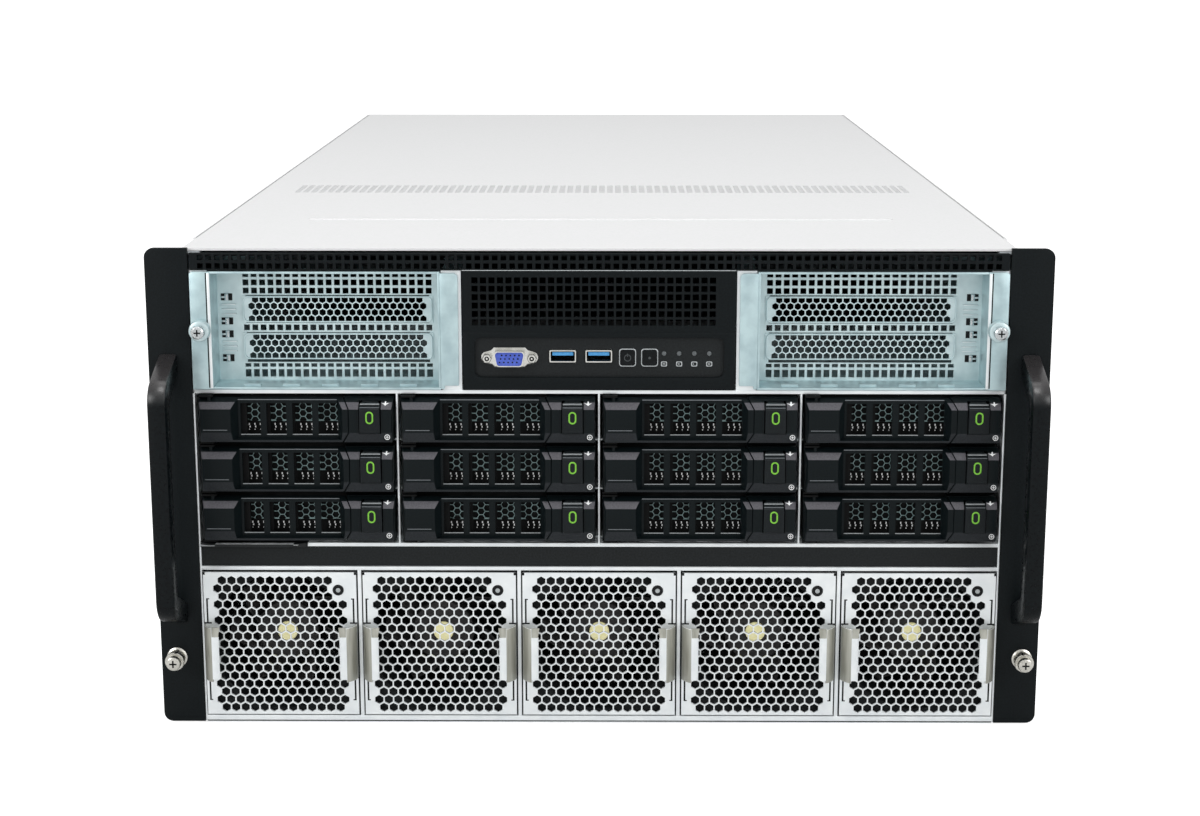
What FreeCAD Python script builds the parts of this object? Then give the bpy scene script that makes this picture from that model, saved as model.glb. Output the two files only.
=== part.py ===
"""Six-unit rack GPU server: a sheet-steel case with hot-swap drives, fans and expansion cages at the front.

Units are millimetres. While it is modelled, y = 0 is the front face of the rack ears, +y runs to the rear,
x = 0 is the mid plane and z = 0 the underside of the case. save() moves each piece so that the origin is
the middle of the base of the whole object's box.
"""
import FreeCAD, Part
import math
import os

V = FreeCAD.Vector

# Case and rack standard
RACK_UNIT = 44.45
RACK_UNITS = 6
EAR_SPAN = 482.6
RACK_SCREW_SPAN = 465.1
RACK_SCREW_Z = 38.1
CASE_W = 444.0
CASE_D = 900.0
CASE_H = RACK_UNITS * RACK_UNIT - 3.5
SHEET = 1.2
FRONT_HALF_W = 217.3
DECK_Z = 96.0
COVER_GAP = 0.3

# Ears and handles
EAR_T = 3.0
EAR_H = RACK_UNITS * RACK_UNIT - 1.5
EAR_INNER_X = 218.4
EAR_FLANGE_D = 40.0
EAR_CORNER_R = 5.0
HANDLE_W = 10.0
HANDLE_X = 230.5
HANDLE_REACH = 36.0
HANDLE_FOOT_Z = 75.5
HANDLE_GRIP_Z = 63.0
HANDLE_BAR = 11.0
HANDLE_MID_Z = RACK_UNITS * RACK_UNIT / 2

# Zinc plates that part the front into bays
RAIL_T = 2.0
CAGE_FLOOR_Z = 186.6
DRIVE_FLOOR_Z = 101.4
FAN_ROOF_Z = 87.9
FAN_FLOOR_Z = 4.1
FRAME_FRONT_Y = 0.5
DRIVE_BAY_D = 172.0
BACKPLANE_Y = 169.0
FAN_BAY_D = 130.0
CAGE_BAY_D = 215.0

# Drive carriers
DRIVE_COLUMNS = 4
DRIVE_ROWS = 3
DRIVE_PITCH_X = 108.6
DRIVE_PITCH_Z = 27.4
DRIVE_MID_Z = 145.4
DIVIDER_T = 1.6
BEZEL_HALF_W = 52.4
BEZEL_HALF_H = 12.0
BEZEL_FRONT_Y = -6.0
BEZEL_FACE_HALF_H = 6.4
BEZEL_DRAFT = 1.8
LEVER_BACK_Y = 1.0
LEVER_PANEL_Y = -0.6
LEVER_END = 25.2
LEVER_TIP = 28.6
SEAM_GAP = 0.5
PIVOT_X = -46.4
PIVOT_Y = -1.0
PIVOT_R = 1.0
PIVOT_GAP = 0.06
LUG_HALF_H = 13.3
WINDOW_COUNT = 4
WINDOW_W = 10.6
WINDOW_H = 17.4
WINDOW_PITCH = 13.95
WINDOW_START = -29.9
RELEASE_X = 40.15
RELEASE_W = 11.4
RELEASE_LOW = -6.6
RELEASE_HIGH = 10.1
RELEASE_FRONT_Y = -7.6
RELEASE_TRAVEL = 1.5
TRAY_FACE_Y = 7.0
TRAY_FACE_T = 1.5
DISK_W = 101.6
DISK_H = 26.1
DISK_L = 147.0

# Fan modules
FAN_COUNT = 5
FAN_PITCH = 87.4
FAN_MID_Z = 45.6
FAN_FACE_W = 83.8
FAN_FACE_H = 82.4
FAN_FRAME = FAN_FACE_W - 2 * SHEET
FAN_FRAME_FRONT = 5.0
FAN_FRAME_BACK = 62.0
FAN_BORE_R = 38.6
ROTOR_TIP = 34.0
ROTOR_HUB_R = 17.5
ROTOR_BLADES = 7
SHAFT_R = 2.0
SHAFT_GAP = 0.05
# The true honeycomb has a third of this pitch. It is drawn coarser to keep the face count low.
FAN_HEX_PITCH = 15.8
FAN_HEX_WEB = 2.2
FAN_DUCT_SIDES = 20
ROTOR_HUB_SIDES = 14
FAN_MESH_HALF_W = 36.5
FAN_MESH_HALF_H = 38.0
FAN_LAMP_X = 32.3
FAN_LAMP_Z = 30.6
FAN_LAMP_R = 3.1

# Expansion cages
CAGE_MID_X = 146.2
CAGE_BOX_HALF_W = 61.6
CAGE_FLANGE_OUT = 12.0
CAGE_FLANGE_IN = 9.6
CAGE_BOTTOM_Z = 189.0
CAGE_TOP_Z = 252.8
CAGE_RECESS = 20.0
CAGE_D = 205.0
SLOT_PITCH = 20.32
SLOT_MID_Z = 219.1
SLOT_COVER_W = 101.0
SLOT_COVER_H = 14.6
THUMB_OFFSET = 66.2
THUMB_Z = 221.5

# Black front panels
PANEL_HALF_W = 72.8
PANEL_BOTTOM_Z = CAGE_FLOOR_Z + RAIL_T
PANEL_TOP_Z = 253.4
PANEL_T = 2.0
SOCKET_PLATE = (-66.4, 66.8, 195.6, 217.2)
SOCKET_PLATE_T = 1.4
SOCKET_PLATE_LAP = 2.0
IO_BOARD_Z = 203.7
VENT_STRIP_TOP_Z = 262.6
BLANK_STRIP_BOTTOM_Z = FAN_ROOF_Z + RAIL_T
VIDEO_X, VIDEO_Z = -47.9, 206.0
USB_X = (-19.4, -0.1)
USB_Z = 207.0
POWER_X, LOCATOR_X = 15.3, 27.1
BUTTON_Z = 206.2
BUTTON_W, BUTTON_H = 7.6, 8.2
BUTTON_TRAVEL = 1.0
LAMP_X = (34.8, 42.9, 51.0, 59.0)
LAMP_Z = 208.4
LAMP_R = 1.3
TAG_W = 58.0
TAG_D = 55.0

# Inside and rear
CARD_COUNT = 8
CARD_PITCH = 50.0
CARD_T, CARD_H, CARD_L = 39.0, 111.0, 267.0
SUPPLY_COUNT = 4
SUPPLY_PITCH = 78.0
SUPPLY_W, SUPPLY_H, SUPPLY_L = 73.5, 39.0, 185.0
SUPPLY_TAB_REACH = 20.0
SUPPLY_Z = 6.0

# Where the origin lies, measured from the front of the ears
ORIGIN_Y = (CASE_D + SUPPLY_TAB_REACH - HANDLE_REACH) / 2


def box(x0, x1, y0, y1, z0, z1):
    return Part.makeBox(x1 - x0, y1 - y0, z1 - z0, V(x0, y0, z0))


def both_sides(shape):
    """The shape and its mirror image across the mid plane."""
    return [shape, shape.mirror(V(0, 0, 0), V(1, 0, 0))]


def post(centre, radius, y0, y1):
    """A round bar along y through centre = (x, z)."""
    return Part.makeCylinder(radius, y1 - y0, V(centre[0], y0, centre[1]), V(0, 1, 0))


def flatted_pin(radius, base, axis):
    """A round pin along axis, milled to two flats that leave a third of its round wall."""
    length = axis.Length
    pin = Part.makeCylinder(radius, length)
    pin = pin.common(Part.makeBox(2 * radius, radius, length, V(-radius, -radius / 2, 0)))
    pin.Placement = FreeCAD.Placement(base, FreeCAD.Rotation(V(0, 0, 1), axis))
    return pin


def closed(points):
    return Part.makePolygon(list(points) + [points[0]])


def rectangle(x0, x1, z0, z1):
    return [(x0, z0), (x1, z0), (x1, z1), (x0, z1)]


def regular(sides, x, z, across):
    """Corners of a regular polygon that stands on a corner, across = its flat-to-flat width."""
    radius = across / 2 / math.cos(math.pi / sides)
    turns = [math.radians(90 + 360 * k / sides) for k in range(sides)]
    return [(x + radius * math.cos(a), z + radius * math.sin(a)) for a in turns]


def hexagon(x, z, across):
    return regular(6, x, z, across)


def sheet(outline, holes, y0, y1):
    """A flat plate facing -y. The outline and holes are lists of (x, z) corners."""
    wires = [closed([V(x, y0, z) for x, z in loop]) for loop in [outline] + holes]
    face = Part.makeFace(wires, "Part::FaceMakerBullseye")
    return face.extrude(V(0, y1 - y0, 0)).Solids[0]


def bar(outline, z0, z1):
    """A prism along z whose section is a list of (x, y) corners."""
    face = Part.Face(closed([V(x, y, z0) for x, y in outline]))
    return face.extrude(V(0, 0, z1 - z0))


def beam(outline, x0, x1):
    """A prism along x whose section is a list of (y, z) corners."""
    face = Part.Face(closed([V(x0, y, z) for y, z in outline]))
    return face.extrude(V(x1 - x0, 0, 0))


def frustum(back, y_back, front, y_front):
    """A block that tapers from the back rectangle to the front one, each (x0, x1, z0, z1)."""
    b = [V(x, y_back, z) for x, z in rectangle(*back)]
    f = [V(x, y_front, z) for x, z in rectangle(*front)]
    loops = [b, f] + [[b[i], b[(i + 1) % 4], f[(i + 1) % 4], f[i]] for i in range(4)]
    faces = [Part.Face(closed(loop)) for loop in loops]
    solid = Part.makeSolid(Part.makeShell(faces))
    if solid.Volume < 0:
        solid.reverse()
    return solid


def rounded(points, radii):
    """A closed wire through the points, with a tangent arc of the given radius at each corner."""
    edges = []
    ends = []
    for i, corner in enumerate(points):
        to_last = (points[i - 1] - corner).normalize()
        to_next = (points[(i + 1) % len(points)] - corner).normalize()
        half = to_last.getAngle(to_next) / 2
        if radii[i] == 0:
            ends.append((corner, corner))
            continue
        reach = radii[i] / math.tan(half)
        start, stop = corner + to_last * reach, corner + to_next * reach
        inward = (to_last + to_next).normalize()
        middle = corner + inward * (radii[i] / math.sin(half) - radii[i])
        edges.append(Part.Arc(start, middle, stop).toShape())
        ends.append((start, stop))
    for i, (_, leave) in enumerate(ends):
        arrive = ends[(i + 1) % len(ends)][0]
        edges.append(Part.LineSegment(leave, arrive).toShape())
    return Part.Wire(Part.__sortEdges__(edges))


def save(name, solids):
    """Writes one node, moved so that the origin is the middle of the object's base."""
    shape = solids[0] if len(solids) == 1 else Part.makeCompound(solids)
    shape = shape.copy()
    shape.translate(V(0, -ORIGIN_Y, 0))
    shape.exportStep(os.path.join("parts", name + ".step"))


def honeycomb(x0, x1, z0, z1, pitch, web, keep_out=None):
    """Hexagons that fill a rectangle in staggered rows, clear of a round keep-out (x, z, radius)."""
    row_step = pitch * math.sqrt(3) / 2
    rows = int((z1 - z0 - pitch) / row_step) + 1
    first_z = (z0 + z1) / 2 - row_step * (rows - 1) / 2
    holes = []
    for row in range(rows):
        count = int((x1 - x0) / pitch) - row % 2
        first_x = (x0 + x1) / 2 - pitch * (count - 1) / 2
        z = first_z + row * row_step
        for x in (first_x + pitch * k for k in range(count)):
            if keep_out and math.hypot(x - keep_out[0], z - keep_out[1]) < keep_out[2]:
                continue
            holes.append(hexagon(x, z, pitch - web))
    return holes


def slots(x0, x1, z0, z1, columns, rows, web):
    """Rectangular openings in a grid, parted by webs of equal width."""
    step_x, step_z = (x1 - x0 + web) / columns, (z1 - z0 + web) / rows
    corners = [(x0 + step_x * i, z0 + step_z * j) for i in range(columns) for j in range(rows)]
    return [rectangle(x, x + step_x - web, z, z + step_z - web) for x, z in corners]


# Case shell

def chassis_tray():
    """Floor and side walls folded from one sheet, with a flange along the top of each wall."""
    half, inner = CASE_W / 2, CASE_W / 2 - SHEET
    flange_w = 10.0
    profile = [(-half, 0), (half, 0), (half, CASE_H), (half - flange_w, CASE_H),
               (half - flange_w, CASE_H - SHEET), (inner, CASE_H - SHEET), (inner, SHEET),
               (-inner, SHEET), (-inner, CASE_H - SHEET), (flange_w - half, CASE_H - SHEET),
               (flange_w - half, CASE_H), (-half, CASE_H)]
    return sheet(profile, [], EAR_T, CASE_D - SHEET)


def card_x(index):
    return CARD_PITCH * (index - (CARD_COUNT - 1) / 2)


def supply_x(index):
    return SUPPLY_PITCH * (index - (SUPPLY_COUNT - 1) / 2)


def rear_wall():
    """Rear sheet with a window for each card bracket and power supply, and vent slots between them."""
    half = CASE_W / 2 - SHEET
    bracket_half, clear = 9.0, 0.6
    holes = [rectangle(card_x(i) - bracket_half, card_x(i) + bracket_half, 110.0, 205.0)
             for i in range(CARD_COUNT)]
    holes += [rectangle(supply_x(i) - SUPPLY_W / 2 - clear, supply_x(i) + SUPPLY_W / 2 + clear,
                        SUPPLY_Z - clear, SUPPLY_Z + SUPPLY_H + clear) for i in range(SUPPLY_COUNT)]
    holes += slots(-200.0, 200.0, 56.0, 88.0, 6, 1, 5.0)
    holes += slots(-200.0, 200.0, 224.0, 250.0, 6, 1, 5.0)
    outline = rectangle(-half, half, SHEET, CASE_H - SHEET)
    return sheet(outline, holes, CASE_D - SHEET, CASE_D)


def deck():
    """Shelf that parts the board bay below from the card bay above."""
    half = CASE_W / 2 - SHEET
    return box(-half, half, CAGE_BAY_D, CASE_D - SHEET, DECK_Z, DECK_Z + SHEET)


def top_cover():
    """Lid with skirts outside the walls, a pressed bead and a band of vent slots."""
    half, skirt_h, skirt_front = CASE_W / 2, 14.0, 45.0
    z0 = CASE_H + COVER_GAP
    z1 = z0 + SHEET
    band_half, band_front, band_back, band_slots = 202.0, 262.0, 302.0, 14
    plate = Part.makeFace([closed([V(x, y, z0) for x, y in loop]) for loop in
                           [rectangle(-half, half, EAR_T, CASE_D)]
                           + slots(-band_half, band_half, band_front, band_back, band_slots, 1, 6.0)],
                          "Part::FaceMakerBullseye").extrude(V(0, 0, SHEET)).Solids[0]
    x0 = half + COVER_GAP
    skirt = box(x0, x0 + SHEET, skirt_front, CASE_D - 3.0, z1 - skirt_h, z1)
    roof_edge = box(half - 1.0, x0, skirt_front, CASE_D - 3.0, z0, z1)
    bead_half, bead_y, bead_w, bead_h = 171.0, 122.0, 8.0, 0.6
    bead = box(-bead_half, bead_half, bead_y, bead_y + bead_w, z1, z1 + bead_h)
    return plate.fuse(both_sides(skirt.fuse(roof_edge)) + [bead]).removeSplitter()


# Rack ears, captive screws and handles

def rack_ear():
    """Right ear: a front plate with round outer corners, and a flange along the case wall."""
    outer = EAR_SPAN / 2
    bottom = 0.6
    corners = [V(EAR_INNER_X, 0, bottom), V(outer, 0, bottom), V(outer, 0, EAR_H), V(EAR_INNER_X, 0, EAR_H)]
    wire = rounded(corners, [0, EAR_CORNER_R, EAR_CORNER_R, 0])
    plate = Part.Face(wire).extrude(V(0, EAR_T, 0))
    flange_x = CASE_W / 2
    flange = box(flange_x, flange_x + SHEET, EAR_T, EAR_FLANGE_D, bottom, EAR_H - 20.0)
    drill = sheet(regular(12, RACK_SCREW_SPAN / 2, RACK_SCREW_Z, 5.5), [], -1.0, EAR_T + 1.0)
    return plate.fuse(flange).cut(drill)


def rack_screw():
    """Captive screw of the right ear: a bush on the plate, and the screw with a narrow neck in the plate."""
    at = (RACK_SCREW_SPAN / 2, RACK_SCREW_Z)
    sides, neck_end = 12, EAR_T
    bush = sheet(regular(sides, *at, 10.4), [regular(sides, *at, 8.6)], -9.0, 0.0)
    head = sheet(regular(sides, *at, 8.0), [], -13.0, 0.0)
    neck = sheet(regular(8, *at, 4.4), [], 0.0, neck_end)
    thread = post(at, 2.5, neck_end, EAR_T + 9.0)
    return [bush, head.fuse([neck, thread])]


def pull_handle():
    """Right handle: a bar bent to a shallow trapezoid, standing on the ear by its two feet."""
    x0 = HANDLE_X - HANDLE_W / 2
    foot_in, grip_in = HANDLE_FOOT_Z - HANDLE_BAR - 1.0, HANDLE_GRIP_Z - HANDLE_BAR
    outline = [(0, HANDLE_FOOT_Z), (-HANDLE_REACH, HANDLE_GRIP_Z), (-HANDLE_REACH, -HANDLE_GRIP_Z),
               (0, -HANDLE_FOOT_Z), (0, -foot_in), (HANDLE_BAR - HANDLE_REACH, -grip_in),
               (HANDLE_BAR - HANDLE_REACH, grip_in), (0, foot_in)]
    wire = rounded([V(x0, y, HANDLE_MID_Z + z) for y, z in outline], [0, 14, 14, 0, 0, 6, 6, 0])
    return Part.Face(wire).extrude(V(HANDLE_W, 0, 0))


# Zinc plates between the bays

def drive_x(column):
    return DRIVE_PITCH_X * (column - (DRIVE_COLUMNS - 1) / 2)


def drive_z(row):
    return DRIVE_MID_Z + DRIVE_PITCH_Z * ((DRIVE_ROWS - 1) / 2 - row)


def shelves():
    """Level plates: the floors of the cages and drives, the roof and floor of the fans."""
    front, half = FRAME_FRONT_Y, FRONT_HALF_W
    gap = 0.4
    tag_end_x, tag_end_y = TAG_W - half + gap, TAG_D + gap
    drive_floor = box(-half, half, front, DRIVE_BAY_D, DRIVE_FLOOR_Z, DRIVE_FLOOR_Z + RAIL_T)
    tag_gap = box(-half - 1, tag_end_x, front - 1, tag_end_y, DRIVE_FLOOR_Z - 1, DRIVE_FLOOR_Z + RAIL_T + 1)
    tag_shelf = box(-half, tag_end_x, 4.0, tag_end_y + 6.0, DRIVE_FLOOR_Z - 0.6, DRIVE_FLOOR_Z)
    return [box(-half, half, front, CAGE_BAY_D, CAGE_FLOOR_Z, CAGE_FLOOR_Z + RAIL_T),
            drive_floor.cut(tag_gap), tag_shelf,
            box(-half, half, front, FAN_BAY_D, FAN_ROOF_Z, FAN_ROOF_Z + RAIL_T),
            box(-half, half, front, FAN_BAY_D, SHEET, FAN_FLOOR_Z)]


def dividers():
    """Upright plates: the two outer ones, those between drives and those between fans."""
    front, half = FRAME_FRONT_Y, FRONT_HALF_W
    plates = both_sides(box(half, half + SHEET, EAR_T + 0.4, CAGE_BAY_D, SHEET, PANEL_TOP_Z))
    for k in range(DRIVE_COLUMNS - 1):
        x = drive_x(k + 0.5)
        plates.append(box(x - DIVIDER_T / 2, x + DIVIDER_T / 2, front, BACKPLANE_Y,
                          DRIVE_FLOOR_Z + RAIL_T, CAGE_FLOOR_Z))
    for k in range(FAN_COUNT - 1):
        x = FAN_PITCH * (k - (FAN_COUNT - 2) / 2)
        plates.append(box(x - RAIL_T / 2, x + RAIL_T / 2, front, FAN_BAY_D, FAN_FLOOR_Z, FAN_ROOF_Z))
    return plates


def drive_guides():
    """Ledges on the dividers that the carriers' side rails run on."""
    wall, reach, thick, drop = (DRIVE_PITCH_X - DIVIDER_T) / 2, 2.2, 0.8, BEZEL_HALF_H + 1.1
    guides = []
    for column in range(DRIVE_COLUMNS):
        for side in (-1, 1):
            outer = wall + (0.3 if abs(drive_x(column) + side * wall) > 1.5 * DRIVE_PITCH_X else 0.0)
            edges = sorted(drive_x(column) + side * u for u in (wall - reach, outer))
            guides += [box(*edges, 10.0, 158.0, drive_z(row) - drop - thick, drive_z(row) - drop)
                       for row in range(DRIVE_ROWS)]
    return guides


def cage_posts():
    """Upright strips that the flanges of the expansion cages lie on, the outer one tapped for the screw."""
    low, y0, y1 = CAGE_FLOOR_Z + RAIL_T, FRAME_FRONT_Y + 0.5, FRAME_FRONT_Y + 2.0
    gap, screw_hole = 0.6, 4.6
    outer = box(CAGE_MID_X + CAGE_BOX_HALF_W + gap, FRONT_HALF_W, y0, y1, low, PANEL_TOP_Z)
    outer = outer.cut(sheet(regular(8, CAGE_MID_X + THUMB_OFFSET, THUMB_Z, screw_hole), [], y0 - 1, y1 + 1))
    inner = box(PANEL_HALF_W + gap, CAGE_MID_X - CAGE_BOX_HALF_W - gap, y0, y1, low, PANEL_TOP_Z)
    return both_sides(outer) + both_sides(inner)


# Black front panels and the sockets behind them

def vent_strip():
    """Perforated black strip along the top edge, with a lip under the flanges of the case."""
    holes = slots(-210.0, 210.0, 254.8, 260.2, 10, 1, 2.6)
    outline = rectangle(-FRONT_HALF_W, FRONT_HALF_W, PANEL_TOP_Z, VENT_STRIP_TOP_Z)
    lip_z = CASE_H - SHEET
    lip = box(-FRONT_HALF_W, FRONT_HALF_W, PANEL_T, 14.0, lip_z - SHEET, lip_z)
    return sheet(outline, holes, 0.0, PANEL_T).fuse(lip).removeSplitter()


def control_plate():
    """Middle panel with a vent field above and one wide window below."""
    vent_left, vent_right, vent_low, vent_high = -67.5, 62.5, 223.6, 249.4
    holes = slots(vent_left, vent_right, vent_low, vent_high, 3, 4, 1.2)
    holes.append(rectangle(*SOCKET_PLATE))
    outline = rectangle(-PANEL_HALF_W, PANEL_HALF_W, PANEL_BOTTOM_Z, PANEL_TOP_Z)
    return sheet(outline, holes, 0.0, PANEL_T)


def socket_plate():
    """Plate that closes the window from behind, with openings for the sockets and buttons."""
    x0, x1, z0, z1 = SOCKET_PLATE
    lap, gap = SOCKET_PLATE_LAP, 0.3
    holes = [rectangle(VIDEO_X - 14.6, VIDEO_X + 14.6, VIDEO_Z - 5.4, VIDEO_Z + 5.4)]
    holes += [rectangle(x - 7.4, x + 7.4, USB_Z - 3.6, USB_Z + 3.6) for x in USB_X]
    holes += [rectangle(x - BUTTON_W / 2 - gap, x + BUTTON_W / 2 + gap, BUTTON_Z - BUTTON_H / 2 - gap,
                        BUTTON_Z + BUTTON_H / 2 + gap) for x in (POWER_X, LOCATOR_X)]
    return sheet(rectangle(x0 - lap, x1 + lap, z0 - lap, z1 + lap), holes, PANEL_T, PANEL_T + SOCKET_PLATE_T)


def io_board():
    """Board that the sockets stand on, held to the socket plate by a tongue at each end."""
    front, root, back, half, tongue = PANEL_T + SOCKET_PLATE_T, 5.6, 60.0, 66.0, 2.4
    outline = [(-half, front), (tongue - half, front), (tongue - half, root), (half - tongue, root),
               (half - tongue, front), (half, front), (half, back), (-half, back)]
    return bar(outline, IO_BOARD_Z - 1.6, IO_BOARD_Z)


def blank_strip():
    """Plain black strip between the drives and the fans."""
    return box(-FRONT_HALF_W, FRONT_HALF_W, 2.0, 3.5, BLANK_STRIP_BOTTOM_Z, DRIVE_FLOOR_Z)


def video_socket():
    """Fifteen-way socket: a steel flange with a raised D shell, and a jack screw at each side."""
    half_w, half_h, wall = 8.4, 4.2, 0.5
    front = PANEL_T + SOCKET_PLATE_T
    outline = rectangle(VIDEO_X - 15.4, VIDEO_X + 15.4, VIDEO_Z - 6.2, VIDEO_Z + 6.2)
    flange = sheet(outline, [], front, front + 1)

    def d_section(inset):
        """Corners of the D, narrower below than above."""
        taper = 1.5
        top, low = half_w - inset, half_w - inset - taper
        height = half_h - inset
        return [(VIDEO_X - low, VIDEO_Z - height), (VIDEO_X + low, VIDEO_Z - height),
                (VIDEO_X + top, VIDEO_Z + height), (VIDEO_X - top, VIDEO_Z + height)]

    shell = sheet(d_section(0), [d_section(wall)], front - 6.0, front)
    insert = sheet(d_section(wall), [], front - 5.2, front)
    jacks = [sheet(hexagon(VIDEO_X + side * 12.0, VIDEO_Z, 4.8), [], front - 5.0, front) for side in (-1, 1)]
    body = box(VIDEO_X - 15.0, VIDEO_X + 15.0, front + 1, 16.0, IO_BOARD_Z, VIDEO_Z + 6.0)
    return [flange.fuse([shell] + jacks), insert, body]


def usb_socket(x):
    """Serial-bus socket: a steel sleeve, and a tongue that stands on the sleeve's back wall."""
    half_w, half_h, wall, mouth, depth = 7.1, 3.3, 0.6, 0.8, 16.0
    outer = rectangle(x - half_w, x + half_w, USB_Z - half_h, USB_Z + half_h)
    inner = rectangle(x - half_w + wall, x + half_w - wall, USB_Z - half_h + wall, USB_Z + half_h - wall)
    sleeve = sheet(outer, [inner], mouth, depth).fuse(sheet(outer, [], depth, depth + wall))
    tongue = box(x - 5.6, x + 5.6, mouth + 1.4, depth, USB_Z + 0.2, USB_Z + 2.0)
    return [sleeve.removeSplitter(), tongue]


def lamps():
    """Four small lenses that lie on the socket plate."""
    return [sheet(regular(8, x, LAMP_Z, 2 * LAMP_R), [], PANEL_T - 0.4, PANEL_T) for x in LAMP_X]


def panel_button(x):
    """Square cap that stands through the socket plate."""
    z0, z1 = BUTTON_Z - BUTTON_H / 2, BUTTON_Z + BUTTON_H / 2
    return box(x - BUTTON_W / 2, x + BUTTON_W / 2, 0.6, 4.4, z0, z1)


def pull_tag():
    """Flat plastic tag that slides out of the drive shelf, with a lip to pull it by."""
    x0, x1 = -FRONT_HALF_W, TAG_W - FRONT_HALF_W
    leaf = box(x0 + 0.3, x1, -1.0, TAG_D, DRIVE_FLOOR_Z + 0.3, DRIVE_FLOOR_Z + RAIL_T - 0.2)
    lip_z0, lip_z1 = DRIVE_FLOOR_Z - 0.2, DRIVE_FLOOR_Z + RAIL_T + 0.4
    lip = frustum((x0, x1, lip_z0, lip_z1), -1.0, (x0 + 6.0, x1 - 6.0, lip_z0 + 0.6, lip_z1 - 0.6), -2.6)
    return leaf.fuse(lip)


# Drive carriers

def bezel_length(u0, u1, outline):
    """A length of the moulded front, cut to an outline: a level face with a long bevel above and below."""
    section = [(LEVER_BACK_Y, -BEZEL_HALF_H), (BEZEL_FRONT_Y, -BEZEL_FACE_HALF_H),
               (BEZEL_FRONT_Y, BEZEL_FACE_HALF_H), (LEVER_BACK_Y, BEZEL_HALF_H)]
    reach = 2 * BEZEL_HALF_H
    return beam(section, u0, u1).common(sheet(outline, [], -reach, reach))


def seam(offset):
    """The pointed parting line between lever and fixed end, from low to high."""
    tip, end = LEVER_TIP + offset, LEVER_END + offset
    return [(end, -BEZEL_HALF_H), (tip, -BEZEL_FACE_HALF_H), (tip, BEZEL_FACE_HALF_H), (end, BEZEL_HALF_H)]


def lever_shape():
    """Hinged front lever: a grip block at the pivot end, then a sunk panel with four windows."""
    left = -BEZEL_HALF_W
    outline = [(left, -BEZEL_HALF_H)] + seam(0) + [(left, BEZEL_HALF_H)]
    bezel = bezel_length(left, LEVER_TIP, outline)
    slant = bar([(left - 1, LEVER_BACK_Y), (left, LEVER_BACK_Y), (left + BEZEL_DRAFT, BEZEL_FRONT_Y),
                 (left - 1, BEZEL_FRONT_Y)], -BEZEL_HALF_H, BEZEL_HALF_H)
    grip_end, sunk_end, sunk_half_h, cut = -32.6, 25.6, 10.6, 2.7
    sunk = [(grip_end, -BEZEL_FACE_HALF_H), (grip_end + cut, -sunk_half_h), (sunk_end - cut, -sunk_half_h),
            (sunk_end, -BEZEL_FACE_HALF_H), (sunk_end, BEZEL_FACE_HALF_H), (sunk_end - cut, sunk_half_h),
            (grip_end + cut, sunk_half_h), (grip_end, BEZEL_FACE_HALF_H)]
    hollow = sheet(sunk, [], BEZEL_FRONT_Y - 1, LEVER_PANEL_Y)
    starts = [WINDOW_START + WINDOW_PITCH * k for k in range(WINDOW_COUNT)]
    windows = [sheet(rectangle(u, u + WINDOW_W, -WINDOW_H / 2, WINDOW_H / 2), [], LEVER_PANEL_Y - 1,
                     LEVER_BACK_Y + 1) for u in starts]
    root, end = 8.0, BEZEL_HALF_H + 0.8
    upper = bar(regular(8, PIVOT_X, PIVOT_Y, 2 * PIVOT_R - 0.16), root, end)
    lower = flatted_pin(PIVOT_R, V(PIVOT_X, PIVOT_Y, -end), V(0, 0, end - root))
    return bezel.cut([slant, hollow] + windows).fuse([upper, lower]).removeSplitter()


def fixed_bezel():
    """Right end of the carrier's front, with a pocket for the release button."""
    right = BEZEL_HALF_W
    outline = seam(SEAM_GAP)[::-1] + [(right, -BEZEL_HALF_H), (right, BEZEL_HALF_H)]
    block = bezel_length(LEVER_END + SEAM_GAP, right, outline)
    root = sheet(outline, [], LEVER_BACK_Y, TRAY_FACE_Y)
    gap = 0.3
    pocket = box(RELEASE_X - RELEASE_W / 2 - gap, RELEASE_X + RELEASE_W / 2 + gap, BEZEL_FRONT_Y - 2, 4.5,
                 RELEASE_LOW - gap, RELEASE_HIGH + gap)
    return block.fuse(root).cut(pocket).removeSplitter()


def carrier_tray():
    """Sheet tray: a face plate, two side rails that the disk is screwed to, and the lever's two lugs."""
    half = BEZEL_HALF_W - 0.1
    rail_t, rail_end, rail_top = half - DISK_W / 2, 150.0, 2.0
    face_back = TRAY_FACE_Y + TRAY_FACE_T
    opening = rectangle(WINDOW_START - 0.5, WINDOW_START + WINDOW_PITCH * WINDOW_COUNT, -8.0, 8.0)
    outline = rectangle(-half, half, -BEZEL_HALF_H - 0.8, BEZEL_HALF_H + 0.8)
    face = sheet(outline, [opening], TRAY_FACE_Y, face_back)
    rails = both_sides(box(half - rail_t, half, face_back, rail_end, -BEZEL_HALF_H - 0.8, rail_top))
    lug_front, lug_end = PIVOT_Y - 2.6, PIVOT_X + 3.0
    lug = box(-half, lug_end, lug_front, TRAY_FACE_Y, BEZEL_HALF_H + 0.3, LUG_HALF_H)
    eye = bar(regular(8, PIVOT_X, PIVOT_Y, 2 * (PIVOT_R + PIVOT_GAP)), BEZEL_HALF_H, LUG_HALF_H + 1)
    lug = lug.cut(eye)
    return face.fuse(rails + [lug, lug.mirror(V(0, 0, 0), V(0, 0, 1))]).removeSplitter()


def disk():
    """Hard disk between the rails."""
    start = 12.0
    return box(-DISK_W / 2, DISK_W / 2, start, start + DISK_L, -DISK_H / 2 + 0.2, DISK_H / 2 + 0.2)


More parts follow.
